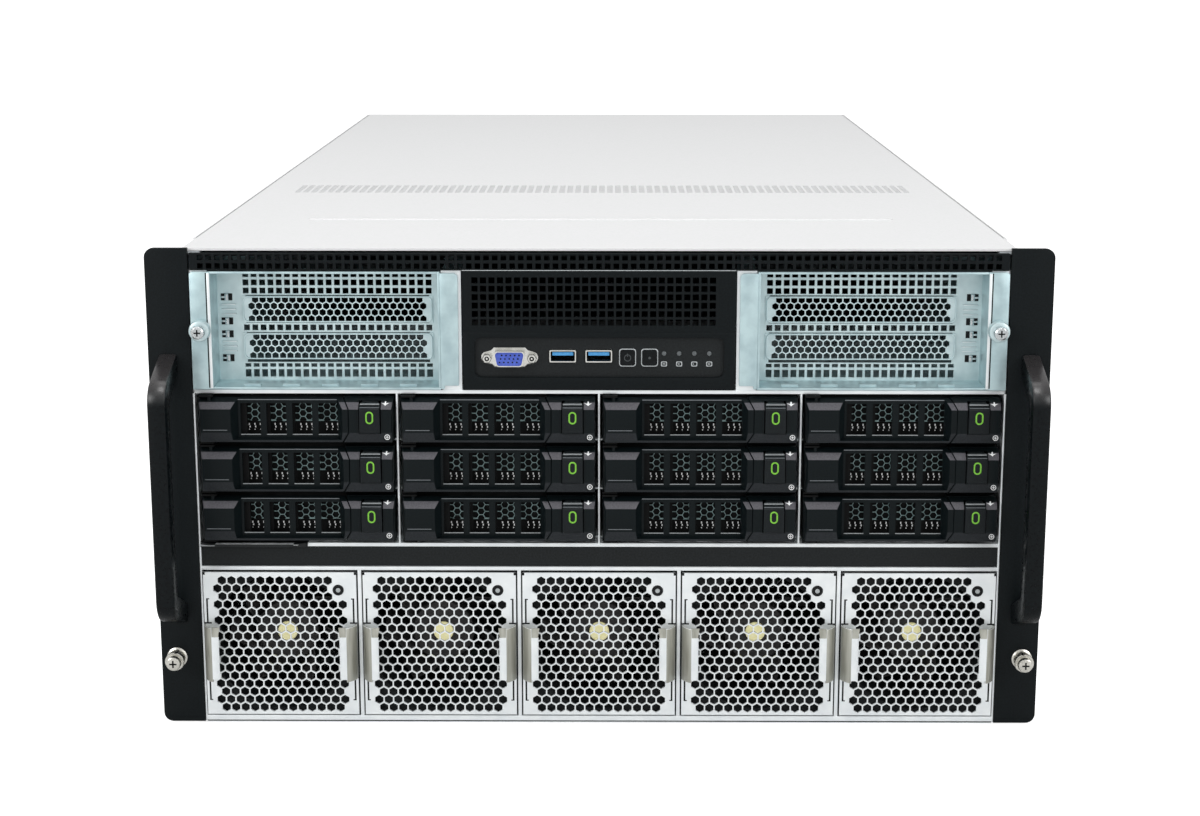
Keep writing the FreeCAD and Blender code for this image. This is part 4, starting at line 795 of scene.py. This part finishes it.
# The slot wall and its covers are fresher sheet, so they are paler.
slot_zinc = finish("pale_passivated_zinc", "#D0E1E3", "#BED1D4", 9.0, (0.32, 0.44), 0.008, 0.5)
# Nickel-plated steel screw: bright, with turning marks round it.
screw_steel = finish("nickel_plated_steel", "#CFD3D4", "#B5BABC", 0.8, (0.22, 0.34), metallic=1.0)


def cage():
    """The right cage; the left one is its mirror image."""
    bm = bmesh.new()
    middle, inside, wall = sum(FIELD_X) / 2, (CAGE_IN + SHEET, CAGE_OUT - SHEET), (WALL_Y, WALL_Y + SHEET)
    slab(bm, (CAGE_IN, CAGE_OUT), (CAGE_FRONT, CAGE_BACK), (CAGE_LOW, CAGE_LOW + SHEET), soft=0.25)
    for x in ((inside[1], CAGE_OUT), (CAGE_IN, inside[0])):
        slab(bm, x, (CAGE_FRONT, CAGE_BACK), (CAGE_LOW + SHEET, CAGE_HIGH), soft=0.25)
    slab(bm, inside, (CAGE_FRONT, wall[1]), (CAGE_HIGH - SHEET, CAGE_HIGH), soft=0.25)
    for low, high, z, rows in ((237.0, 251.6, 243.8, 3), (216.6, 221.6, 219.1, 1)):
        perforated(bm, (*inside, low, high), wall, (middle, z, 23, rows), SLOT_PITCH, 3.2, slot_zinc, sides=4)
    foot = [rounded(*inside, 190.2, 200.0, 0)]
    for x in [middle + SLOT_PITCH * k for k in range(-11, 12)]:
        foot += [rounded(x - 1.6, x + 1.6, low, high, 0) for low, high in ((191.8, 196.0), (197.3, 199.3))]
    plate(bm, foot, wall, slot_zinc)
    for z in ((200.0, 216.6), (221.6, 237.0)):
        for x in ((inside[0], FIELD_X[0] + 1), (FIELD_X[1] - 1, inside[1])):
            slab(bm, x, wall, z, slot_zinc)
    for z in COVER_Z:
        perforated(bm, (FIELD_X[0] - 1, FIELD_X[1] + 1, z - 7.3, z + 7.3), (WALL_Y - 0.8, WALL_Y - 0.02),
                   (middle, z, 24, 4), 4.04, 3.42, slot_zinc)
        rim = [rounded(FIELD_X[0] + e, FIELD_X[1] - e, z - 6.5 + e, z + 6.5 - e, 2.6) for e in (-0.6, 0.1)]
        plate(bm, rim, (WALL_Y - 1.5, WALL_Y - 0.8), slot_zinc, 0.15)
        for mid in (z - 6.6, z + 6.6):
            # Each clip: a dark hole of painted shade, then its tab and its lip.
            for left, right, front, back, half, material, soft in (
                    (0, 6.2, 0.3, 0.2, 1.9, painted_shade, 0), (2, 4, 1.4, 0, 1.9, screw_steel, 0.3),
                    (4, 6.2, 1.0, 0, 0.5, screw_steel, 0.2)):
                slab(bm, (CLIP_X + left, CLIP_X + right), (WALL_Y - front, WALL_Y + back),
                     (mid - half, mid + half), material, soft)
        across, deep = (CLIP_X - 2, CLIP_X + 6), (WALL_Y - 1.4, WALL_Y + 0.2)
        for mid in (z - 2.6, z, z + 2.6):
            slab(bm, across, deep, (mid - 0.3, mid + 0.3), bright_zinc, 0.15)
    outer = ((0, CAGE_LOW), (9.8, CAGE_LOW), (9.8, CAGE_HIGH - 1), (8, CAGE_HIGH), (0, CAGE_HIGH))
    inner = ((9.6, CAGE_LOW + 2.2), (2, CAGE_LOW + 2.2), (2, CAGE_LOW + 0.4), (0, CAGE_LOW + 0.4),
             (0, CAGE_HIGH - 0.8), (8, CAGE_HIGH - 0.8), (9.6, CAGE_HIGH - 2.4))
    for flange in ([(CAGE_OUT + x, z) for x, z in outer], [(CAGE_IN - x, z) for x, z in inner]):
        plate(bm, [flange], (CAGE_FRONT, 0.2), soft=0.3)
    turned(bm, THUMB_X, THUMB_Z, THUMB_CUP, slot_zinc)
    turned(bm, THUMB_X, THUMB_Z, THUMB_HEAD, screw_steel)
    turned(bm, THUMB_X, THUMB_Z, [(2.0, -1.0), (2.0, 6.0)], screw_steel, 16)
    # Painted shade: the cross in the thumbscrew, and a dark seam beside the outer flange.
    cross(bm, THUMB_X, THUMB_Z, (-11.53, -10.9), 0.4, 1.8, painted_shade)
    slab(bm, (CAGE_OUT + 0.5, CAGE_OUT + 1.2), (-1.04, -0.8), (CAGE_LOW + 1, CAGE_HIGH - 0.6), painted_shade)
    slab(bm, (inside[1], CAGE_OUT + 0.5), (-1.3, -0.9), (CAGE_LOW + 0.6, CAGE_HIGH - 0.6), bright_zinc, 0.15)
    slab(bm, (inside[0], inside[0] + 1.6), (40, 200), (193, 248.8), mask)
    fins(bm, 2, (inside[0] + 1.6, 60, 204.5), (0, 0, 20.32), (7, 90, 8.5), nylon)
    fins(bm, 5, (98.0, 3.0, CAGE_LOW + SHEET), (21, 0, 0), (9, 2.4, 1.2), passivated)
    return bm


for name, body in (("expansion_cage_right", "cage_right"), ("expansion_cage_left", "cage_left")):
    piece(name + "_tray", cage(), body, passivated, "zinc_sheet", [name], mirror=body == "cage_left")

# ---- Drive carriers ------------------------------------------------------------------------------------
# Twelve hot-swap carriers for three-and-a-half-inch disks. A steel tray with a moulded ABS front: a lever
# with four windows that swings out about its left end, and a fixed block with the release button.

BEZEL, BEZEL_Z, LEDGE_Z, FACE_Z = 52.4, 12.0, 9.7, 6.4
BACK_Y, LEDGE_Y, FACE_Y, LOW_Y, PANEL_Y = 1.0, -2.7, -6.0, -4.4, -0.6
LEVER_END, LEVER_TIP, PIVOT_X, PIVOT_Y = 25.2, 28.6, -46.4, -1.0
WINDOWS, WINDOW_W, WINDOW_Z = [-29.9 + 13.95 * k for k in range(4)], 10.6, 8.7
RELEASE_X, RELEASE_W, RELEASE_LOW, RELEASE_HIGH, RELEASE_Y = 40.15, 5.7, -6.6, 10.1, -7.6
POCKET_GAP, POCKET_BACK, BLOCK_BACK, TRAY_X, TRAY_Z = 0.3, 4.5, 7, 52.3, 12.8
TRAY_FRONT, DISK_X, GUIDE_X, GUIDE_Z, OPENING = 8.5, 50.8, (-31, 26.8), 8.9, (-30.4, 25.9, -8, 8)
SPOT_X, SPOT_Z, SPOT_Y = 49.4, -8.8, (-5.8, -5.65)
ARROW = [(46.3, 9.4), (48.0, 9.2), (48.3, 10.1), (48.9, 10.1), (48.9, 9.2), (50.6, 9.4), (49.2, 8.7),
         (48.5, 8.1), (47.8, 8.7)]

# Moulded black ABS: charcoal with a fine spark-eroded grain, drawn at 0.7 mm so that it shows.
abs_black = finish("moulded_black_abs", "#0E1517", "#091012", 0.7, (0.34, 0.42), 0.01, specular=DULL)
# The same moulding on the release button, which hands keep polished.
abs_pad = finish("polished_black_abs", "#1C2022", "#161A1C", 0.7, (0.3, 0.38), 0.01, specular=DULL)
# The same moulding on the front's lower bevel, painted lighter grey for the light that falls on it from below
# and in front.
abs_under_lit = finish("under_lit_black_abs", "#2A2D30", "#222528", 0.7, (0.3, 0.38), 0.01, specular=DULL)
# The same moulding on the front's upper bevel, painted grey for the light from above that falls on it.
abs_top_lit = finish("top_lit_moulded_abs", "#5B5A5F", "#4E4D52", 0.9, (0.45, 0.55), 0.012, specular=0.25)
# Black oxide on the tray's steel front: dead black, which also keeps the gaps round the lever as dark as
# shade. The same black is painted shade behind the air guide and beside the lever's windows.
black_oxide_and_shade = finish("black_oxide_steel", "#0C0D0E", "#070808", 0.8, (0.6, 0.7), specular=DULL)
# Painted highlight: a thin lighter line where an edge of the moulding catches the light.
abs_edge = finish("abs_edge_painted_highlight", "#9DA2A4", "#8C9193", 1.0, (0.3, 0.4))
# Painted dim highlight: a duller line that only just shows on the black.
abs_dim_highlight = finish("abs_edge_painted_dim_highlight", "#70757A", "#62676A", 1.0, (0.4, 0.5))
# White ink and tinned pins: small clean specks.
pin_silver = finish("white_ink_and_tin", "#F4F5F5", "#E6E8E8", 0.8, (0.4, 0.5))
# Honeycomb air guide: grey-green painted steel.
guide_grey = finish("grey_green_painted_steel", "#86A0A0", "#5C7373", 4.0, (0.35, 0.5))
# Cast disk body: dull grey aluminium with a slightly rough skin.
cast_aluminium = finish("die_cast_aluminium", "#A9ADB0", "#94989B", 1.4, (0.4, 0.55), 0.03, 0.9)
# Release mark: bright green ink.
green_print = finish("green_screen_print", "#7BC13B", "#6CB02F", 1.0, (0.45, 0.55))


def carved(bm, cutter):
    """The first mesh with the second cut out of it."""
    halves = []
    for part in (bm, cutter):
        bmesh.ops.recalc_face_normals(part, faces=part.faces)
        mesh = bpy.data.meshes.new("carving")
        part.to_mesh(mesh)
        part.free()
        halves.append(bpy.data.objects.new("carving", mesh))
        bpy.context.collection.objects.link(halves[-1])
    cut = halves[0].modifiers.new("cut", "BOOLEAN")
    cut.object, cut.operation, cut.solver = halves[1], "DIFFERENCE", "EXACT"
    mesh = bpy.data.meshes.new_from_object(halves[0].evaluated_get(bpy.context.evaluated_depsgraph_get()))
    for half in halves:
        bpy.data.objects.remove(half)
    result = bmesh.new()
    result.from_mesh(mesh)
    return result


def front_section(x_at):
    """Depth and height round the moulded front, with the x that each corner has there."""
    corners = [(BACK_Y, -BEZEL_Z), (LOW_Y, -BEZEL_Z), (FACE_Y, -FACE_Z), (FACE_Y, FACE_Z), (LEDGE_Y, LEDGE_Z),
               (BACK_Y, BEZEL_Z)]
    return [(x_at(y, z), y, z) for y, z in corners]


def seam(gap):
    """The pointed seam between the lever and the fixed end, as x over height."""
    slope = (LEVER_TIP - LEVER_END) / (BEZEL_Z - FACE_Z)
    return lambda y, z: LEVER_END + gap + slope * (BEZEL_Z - abs(z))


def paint_bevel_light(bm):
    """Paints light on the upper and the lower bevel of a moulded front: each gets its lighter grey by the way
    its faces turn.
    """
    bmesh.ops.recalc_face_normals(bm, faces=bm.faces)
    for face in bm.faces:
        height = face.calc_center_median().z
        if face.normal.z > 0.45 and face.normal.y < -0.45 and FACE_Z < height < LEDGE_Z:
            paint([face], abs_top_lit)
        if face.normal.z < -0.15 and face.normal.y < -0.8 and -BEZEL_Z < height < -FACE_Z:
            paint([face], abs_under_lit)
    return bm


def lever():
    """Hinged lever: grip block, then a sunk panel with four windows, and its pin."""
    body, trough, openings = bmesh.new(), bmesh.new(), bmesh.new()
    draft = {BACK_Y: 0.0, LEDGE_Y: 0.6, LOW_Y: 1.3, FACE_Y: 1.8}
    skin(body, [front_section(lambda y, z: draft[y] - BEZEL), front_section(seam(0.0))], soft=0.3)
    skin(trough, [[(-31.1 - d, y, -10.7), (22.2 + d, y, -10.7), (22.2 + d, y, 14), (-31.1 - d, y, 14)]
                  for y, d in ((PANEL_Y, 0.0), (FACE_Y - 1, 3.9))])
    for u in WINDOWS:
        slab(openings, (u, u + WINDOW_W), (PANEL_Y - 1, BACK_Y + 1), (-WINDOW_Z, WINDOW_Z))
    bm = paint_bevel_light(carved(carved(body, trough), openings))
    # Painted highlights: a dim line along the top of the sunk panel, a light line along the lower edge of
    # each window, and a dim line on the grip block.
    slab(bm, (-31.0, 22.1), (PANEL_Y - 0.35, PANEL_Y + 0.1), (10.5, 10.9), abs_dim_highlight)
    for u in WINDOWS:
        slab(bm, (u, u + WINDOW_W), (PANEL_Y - 0.2, PANEL_Y + 0.2), (-WINDOW_Z, 0.42 - WINDOW_Z), abs_edge)
    slab(bm, (-49.4, -36.4), (FACE_Y - 0.1, FACE_Y + 0.1), (-5.2, -4.85), abs_dim_highlight)
    for span in ((-12.8, -8.0), (8.0, 12.8)):
        skin(bm, [[(x, y, z) for x, y in circle(PIVOT_X, PIVOT_Y, 1, 16)] for z in span])
    return bm


def carrier():
    """Tray with its disk, the fixed end of the front and the air guide behind the lever's windows."""
    block, pocket = bmesh.new(), bmesh.new()
    draft = {BACK_Y: 0.0, LEDGE_Y: 0.2, LOW_Y: 0.4, FACE_Y: 0.6}
    skin(block, [front_section(seam(0.5)), front_section(lambda y, z: BEZEL - draft[y])], soft=0.3)
    sides = (RELEASE_X - RELEASE_W - POCKET_GAP, RELEASE_X + RELEASE_W + POCKET_GAP)
    height = (RELEASE_LOW - POCKET_GAP, RELEASE_HIGH + POCKET_GAP)
    slab(pocket, sides, (-8, POCKET_BACK), height)
    bm = paint_bevel_light(carved(block, pocket))
    for x in ((LEVER_END + 0.5, sides[0]), (sides[1], BEZEL)):
        slab(bm, x, (BACK_Y, BLOCK_BACK), (-BEZEL_Z, BEZEL_Z))
    for z in ((-BEZEL_Z, height[0]), (height[1], BEZEL_Z)):
        slab(bm, sides, (BACK_Y, BLOCK_BACK), z)
    slab(bm, sides, (POCKET_BACK, BLOCK_BACK), height)
    plate(bm, [rounded(-TRAY_X, TRAY_X, -TRAY_Z, TRAY_Z, 0), rounded(*OPENING, 0)], (BLOCK_BACK, TRAY_FRONT),
          black_oxide_and_shade)
    for side in (-1, 1):
        slab(bm, (side * DISK_X, side * TRAY_X), (TRAY_FRONT, 150), (-TRAY_Z, 2), zinc)
        slab(bm, (-TRAY_X, PIVOT_X + 2), (-2.4, BLOCK_BACK), (side * 12.3, side * 13.3), black_oxide_and_shade)
    perforated(bm, (-2.3, GUIDE_Z, *GUIDE_X), (5.0, 5.5), (3.9, -1.9, 4, 18), 3.75, 3.36, guide_grey,
               lay="zx")
    # Painted shade: a black sheet behind the air guide, and black strips at the left of the windows, narrower
    # from one window to the next, for the shadow of the side walls.
    slab(bm, GUIDE_X, (6.3, 6.9), (-GUIDE_Z, GUIDE_Z), black_oxide_and_shade)
    for u, shade in zip(WINDOWS, (3.0, 1.6, 0.8)):
        slab(bm, (u - 0.5, u + shade), (2.0, 4.9), (-GUIDE_Z, GUIDE_Z), black_oxide_and_shade)
    for u in WINDOWS:
        for x, z, w, h in ((3.3, -4.6, 0.6, 1.1), (3.7, -6.0, 0.6, 1.0), (3.4, -7.3, 0.45, 0.6)):
            fins(bm, 3, (u + x, 5.0, z), (3.0, 0, 0), (w, 0.3, h), pin_silver)
    slab(bm, (-DISK_X, DISK_X), (12, 159), (-12.85, 12.5), cast_aluminium, 0.8)
    plate(bm, [rounded(-47, 47, 16, 155, 6)], (12.4, 13.2), cast_aluminium, 0.2, axis="z")
    for x in (-44, 0, 44):
        for y in (19, 152):
            plate(bm, [circle(x, y, 2, 10)], (13.1, 13.25), zinc, axis="z")
    skin(bm, [[(x, FACE_Y + z - FACE_Z + deep, z) for x, z in ARROW] for deep in (-0.2, 0.4)], pin_silver)
    turned(bm, SPOT_X, SPOT_Z, [(1.8, -5.75), (1.9, -5.65), (1.9, -4.0)], abs_black, 20)
    plate(bm, [circle(SPOT_X, SPOT_Z, radius, 20) for radius in (1.5, 1.15)], SPOT_Y, pin_silver)
    cross(bm, SPOT_X, SPOT_Z, SPOT_Y, 0.2, 0.75, pin_silver)
    return bm


def release():
    """Release button: a pad with a printed green ring, and a slope above it with two ridges."""
    bm = bmesh.new()
    back = 2.7
    corners = [(back, RELEASE_LOW, 0), (RELEASE_Y + 0.6, RELEASE_LOW, 0), (RELEASE_Y, RELEASE_LOW + 0.6, 0.2),
               (RELEASE_Y, 6.6, 0.2), (-4.9, 8.5, 0.4), (-2.6, RELEASE_HIGH, 1.6), (back, RELEASE_HIGH, 1.6),
               (back, 8.5, 0)]
    skin(bm, [[(s * (RELEASE_W - cut), y, z) for y, z, cut in corners] for s in (-1, 1)], soft=0.3)
    # The two ridges on the slope are painted highlights, the upper one light, the lower one dim.
    slab(bm, (-5.2, 5.2), (-5.2, -3.6), (8.7, 9.4), abs_edge, 0.1)
    slab(bm, (-5.2, 5.2), (-6.7, -4.6), (7.4, 7.7), abs_dim_highlight)
    plate(bm, [rounded(-w, w, 2.2 - h, 2.2 + h, w - 0.05, 5) for w, h in ((2.1, 3.4), (1.3, 2.6))],
          (RELEASE_Y - 0.08, RELEASE_Y + 0.1), green_print)
    return bm


drive_set = ((lever(), "lever", "lever", abs_black, "drive_plastic", 0),
             (carrier(), "carrier", "carrier", abs_black, "carrier_tray", 0),
             (release(), "button", "release", abs_pad, "drive_plastic", RELEASE_X))
for number in range(1, 13):
    row, column = divmod(number - 1, 4)
    x, z = DRIVE_PITCH_X * (column - 1.5), DRIVE_MID_Z + DRIVE_PITCH_Z * (1 - row)
    for master, kind, body, own, slot_name, inset in drive_set:
        node = f"drive_{kind}_{number:02d}"
        piece(node + "_skin", master.copy(), f"{body}_{number:02d}", own, slot_name, [node],
              at=(x + inset, 0, z))

# ---- Fan modules ---------------------------------------------------------------------------------------
# Five hot-swap fans. A black moulded frame with a zinc-plated steel face punched as a honeycomb, two grip
# tabs bent out of it and a status lamp; a seven-blade rotor turns behind it.

FAN_MID_Z, FAN_W, FAN_H, FACE_SHEET, FAN_END = 45.6, 41.9, 41.2, (-0.5, 0.7), (58, 62)
LAMP, CUT_Y = (32.0, 31.2), (-0.56, 0)
TAB = [(41.9, -0.5), (41.9, -2.6), (41.3, -4.4), (39.9, -6.7), (38.3, -8.5), (36.8, -9.3), (36.5, -8.4),
       (37.7, -7.7), (39.2, -6.1), (40.4, -4.1), (40.9, -2.5), (40.9, -0.5)]
ROLL = [(36.9, -9.3), (36.0, -9.6), (34.9, -9.6), (33.8, -9.3), (33.0, -8.6), (33.5, -8.1), (34.4, -8.5),
        (36.6, -8.5)]
HUB = [(15.8, 24.0), (17.0, 24.5), (17.5, 25.6), (17.5, 54), (2, 54), (2, 62)]
BLADES, BLADE_STATIONS = 7, ((16.6, 0.0, -9.0, 27.0, 52.0), (25.0, 6.0, -8.0, 26.5, 49.0),
                             (33.6, 14.0, -6.0, 26.0, 46.0))

# Glass-filled polyester: matt black with a faint mottle.
fan_black = finish("glass_filled_polyester", "#242627", "#1A1C1D", 1.5, (0.5, 0.62), 0.02, specular=DULL)
# Rotor moulding: the same with less glass, so a shade lighter and smoother.
rotor_grey = finish("charcoal_polyester", "#434242", "#363535", 1.5, (0.42, 0.52), 0.01, specular=DULL)
# Stainless spring strip: painted darker olive-grey than the zinc face, as shade where it turns away from the
# light.
spring_steel_and_shade = finish("stainless_spring_steel", "#B4B4AB", "#9C9C92", 3.0, (0.34, 0.44), metallic=0.6,
                      stretch=(1, 1, 0.1))
# Nylon cap on the hub: cream and translucent, with a painted glow, a little emission that lifts it in the
# dark duct.
glowing_cream_cap = finish("cream_nylon_cap_painted_glow", "#FFFBD0", "#F4ECB0", 1.2, (0.5, 0.6),
                    sockets={"Emission Color": colour("#F4EBAE"), "Emission Strength": 0.25})
# Status lens of the fan: clear acrylic, pale where it gathers the light.
clear_lens = finish("clear_acrylic_lens", "#B4B9BA", "#9EA4A5", 0.8, (0.12, 0.2))


def fan_module():
    """Frame and punched face, without the rotor."""
    bm = bmesh.new()
    perforated(bm, (-FAN_W, FAN_W, 0.7 - FAN_H, FAN_H), FACE_SHEET, (0, 0, 13, 17), 5.27, 4.56, bright_zinc,
               wide=True, clear=(*LAMP, 6.0))
    for s in (-1, 1):
        slab(bm, (s * (FAN_W - SHEET), s * FAN_W), (FACE_SHEET[1], 26), (-39.7, 39.7))
        # Painted shade: a dark strip at each side for the gap to the next module.
        slab(bm, (s * (FAN_W - 0.1), s * (FAN_W + 0.25)), (0.9, 20), (-40.4, 41), painted_shade)
        # Grip tab: the bent strip and its tongue in the spring steel's painted shade, the rolled lip in the
        # face's zinc.
        skin(bm, [[(s * x, y, z) for x, y in TAB] for z in (-19.0, 11.9)], spring_steel_and_shade, 0.15)
        skin(bm, [[(s * x, y, z) for x, y in ROLL] for z in (-17.4, 6.9)])
        tongue = ((36.9, 0, 6.8), (33.3, 0, 6.8), (32.5, 1.2, 11.9), (36.9, 1.2, 11.9))
        skin(bm, [[(s * x, front + y, z) for x, y, z in tongue] for front in (-9.2, -8.6)], spring_steel_and_shade)
        # Painted shade: dark lines on the face for the slits beside the tabs and for the cut corners.
        for left, right, low, high in (
                (39.7, 40.6, 12.4, 26.4), (38.9, 40.5, 25.8, 26.4), (39.7, 40.6, -32.4, -19.6),
                (38.9, 40.5, -32.4, -31.8), (38.0, FAN_W, 11.9, 12.7), (38.0, FAN_W, -19.6, -18.8),
                (40.8, FAN_W, 39.8, FAN_H)):
            slab(bm, (s * left, s * right), CUT_Y, (low, high), painted_shade)
    # Painted shade: a dark ring round the lamp.
    turned(bm, *LAMP, [(1.3, -0.9), (2.3, -1.3), (2.9, -1.1), (3.1, -0.5)], painted_shade, 24)
    turned(bm, *LAMP, [(0.6, -1.1), (1.2, -1.0), (1.35, -0.8)], clear_lens, 20)
    plate(bm, [rounded(-40.7, 40.7, -40.7, 40.7, 2.5), circle(0, 0, 38.6)], (5, FAN_END[1]), fan_black)
    for k in range(4):
        a = math.pi / 4 + k * math.pi / 2
        along, across = Vector((math.cos(a), math.sin(a))), Vector((-math.sin(a), math.cos(a)))
        corners = [along * r + across * w for r, w in ((16, -2.4), (39.2, -2.4), (39.2, 2.4), (16, 2.4))]
        plate(bm, [[tuple(p) for p in corners]], FAN_END, fan_black, 0.3)
    plate(bm, [circle(0, 0, 18), circle(0, 0, 2.05, 16)], FAN_END, fan_black)
    return bm


def rotor():
    """Hub with its cap and the cambered, swept blades."""
    bm = bmesh.new()
    turned(bm, 0, 0, HUB, rotor_grey, 40)
    # The hub's cap, with its painted glow.
    turned(bm, 0, 0, [(4.9, 22.5), (5.5, 22.9), (5.5, 24.1)], glowing_cream_cap, 24)
    for k in range(BLADES):
        rings = []
        for radius, sweep, lean, front, back in BLADE_STATIONS:
            chord = [(lean + 15 * t ** 0.7, front + (back - front) * t, half)
                     for t, half in ((0, 0.5), (0.5, 1.1), (1, 0.4))]
            outline = [(d - h, y) for d, y, h in chord] + [(d + h, y) for d, y, h in reversed(chord)]
            start = 2 * math.pi * k / BLADES + math.radians(sweep)
            turns = [(start + d / radius * 0.9, y) for d, y in outline]
            rings.append([(radius * math.sin(a), y, radius * math.cos(a)) for a, y in turns])
        skin(bm, rings)
    return bm


fan_set = ((fan_module(), "module", "fan", bright_zinc, "fan_sheet"),
           (rotor(), "rotor", "rotor", rotor_grey, "rotor_plastic"))
for number in range(1, 6):
    for master, kind, body, own, slot_name in fan_set:
        node = f"fan_{kind}_{number}"
        piece(node + "_skin", master.copy(), f"{body}_{number}", own, slot_name, [node],
              at=(FAN_PITCH * (number - 3), 0, FAN_MID_Z))

# ---- Top cover -----------------------------------------------------------------------------------------
# Lid that lifts off for service. Steel sheet with skirts outside the walls, a pressed bead across the front
# and a punched band of vents over the drives' rear end, powder-coated pale grey.

COVER_Z_SPAN, COVER_HALF, SKIRT_X, SKIRT_Y = (263.5, 264.7), 222.0, 223.5, (45, CASE_D - 3)
COVER_HIGH = COVER_Z_SPAN[1]
BAND = (-204.0, 204.0, 255.0, 309.0)

# Pale grey powder coat: near white, satin, with a soft orange peel drawn at 1.5 mm.
pale_coat = finish("pale_grey_powder_coat", "#EDEDEE", "#E8E9E9", 1.5, (0.55, 0.65), 0.02, specular=0.2)

lid = bmesh.new()
for x, y in (((-COVER_HALF, COVER_HALF), (EAR_T, BAND[2])), ((-COVER_HALF, COVER_HALF), (BAND[3], CASE_D)),
             ((-COVER_HALF, BAND[0]), BAND[2:]), ((BAND[1], COVER_HALF), BAND[2:])):
    slab(lid, x, y, COVER_Z_SPAN)
perforated(lid, BAND, COVER_Z_SPAN, (0, 282.0, 77, 8), 5.2, 3.6, pale_coat, sides=4, lay="xy")
for side in (-1, 1):
    slab(lid, (side * 222.3, side * SKIRT_X), SKIRT_Y, (COVER_HIGH - 14, COVER_HIGH), soft=0.3)
    slab(lid, (side * 221.5, side * 222.4), SKIRT_Y, COVER_Z_SPAN)
    rivets(lid, 5, (side * SKIRT_X, 110, 257.0), (185, 0), 3.4, 0.45, side, nickel)
plate(lid, [rounded(-171, 171, 122, 130, 3.9)], (COVER_HIGH - 0.1, COVER_HIGH + 0.6), soft=0.5, axis="z")
piece("cover_sheet", lid, "cover", pale_coat, "cover_coat", ["top_cover"])

# ---- Studio --------------------------------------------------------------------------------------------
# White paper floor in a white room, with two soft lights above, two fills in front and the camera where the
# photograph was taken from. Lamps are placed in metres.

FLOOR_HALF, FLOOR_Z = 90.0, -0.0005
CAMERA_AT, CAMERA_DOWN, CAMERA_TURN, FOCAL, SENSOR = (8.0, -1123.0, 424.0), 12.31, 0.38, 64.2, 36.0

white_floor = bpy.data.materials.new("white_paper_floor")
white_floor.use_nodes = True
floor_tree = white_floor.node_tree
floor_shader = floor_tree.nodes["Principled BSDF"]
for socket, value in (("Base Color", colour("#F2F2F2")), ("Roughness", 0.9),
                      ("Emission Color", colour("#FFFFFF"))):
    floor_shader.inputs[socket].default_value = value
seen = add(floor_tree, "ShaderNodeLightPath").outputs["Is Camera Ray"]
glow = add(floor_tree, "ShaderNodeMath", {0: seen, 1: 0.75}, operation="MULTIPLY")
floor_tree.links.new(glow.outputs[0], floor_shader.inputs["Emission Strength"])
corners = [(x * FLOOR_HALF, y * FLOOR_HALF, FLOOR_Z) for x, y in ((-1, -1), (1, -1), (1, 1), (-1, 1))]
floor_mesh = bpy.data.meshes.new("studio_floor")
floor_mesh.from_pydata(corners, [], [(0, 1, 2, 3)])
floor_mesh.materials.append(white_floor)
floor = bpy.data.objects.new("studio_floor", floor_mesh)
bpy.context.collection.objects.link(floor)

world = bpy.data.worlds.new("white_studio")
world.use_nodes = True
sky = world.node_tree
rays = add(sky, "ShaderNodeLightPath").outputs
mirrored = add(sky, "ShaderNodeMath", {0: rays["Is Glossy Ray"], 1: rays["Is Transmission Ray"]},
               operation="MAXIMUM")
level = add(sky, "ShaderNodeMapRange", {"Value": mirrored.outputs[0], "To Min": 0.45, "To Max": 0.85})
white = add(sky, "ShaderNodeMath", {0: level.outputs["Result"], 1: rays["Is Camera Ray"]},
            operation="MAXIMUM")
sky.nodes["Background"].inputs["Color"].default_value = (1, 1, 1, 1)
sky.links.new(white.outputs[0], sky.nodes["Background"].inputs["Strength"])
bpy.context.scene.world = world


def lamp(name, at, aim, size, power):
    """A square softbox."""
    light = bpy.data.lights.new(name, "AREA")
    light.size, light.energy = size, power
    thing = bpy.data.objects.new(name, light)
    thing.location = at
    thing.rotation_euler = (Vector(aim) - Vector(at)).to_track_quat("-Z", "Y").to_euler()
    bpy.context.collection.objects.link(thing)


lamp("overhead", (0.0, FRONT - 0.75, 2.2), (0, FRONT + 0.1, 0.13), 0.85, 13)
lamp("rear_top", (0.0, FRONT + 0.8, 2.4), (0, FRONT + 0.5, 0.26), 1.4, 10)
lamp("left_fill", (-1.6, FRONT - 1.5, 1.0), (0, FRONT, 0.12), 1.0, 16)
lamp("right_fill", (1.6, FRONT - 1.5, 1.0), (0, FRONT, 0.12), 1.0, 13)

camera = bpy.data.cameras.new("camera")
camera.sensor_width, camera.lens = SENSOR, FOCAL
viewer = bpy.data.objects.new("camera", camera)
viewer.location = (CAMERA_AT[0] * MM, CAMERA_AT[1] * MM + FRONT, CAMERA_AT[2] * MM)
viewer.rotation_euler = (math.radians(90 - CAMERA_DOWN), 0, math.radians(CAMERA_TURN))
bpy.context.collection.objects.link(viewer)
bpy.context.scene.camera = viewer
bpy.context.scene.view_settings.view_transform = "Standard"
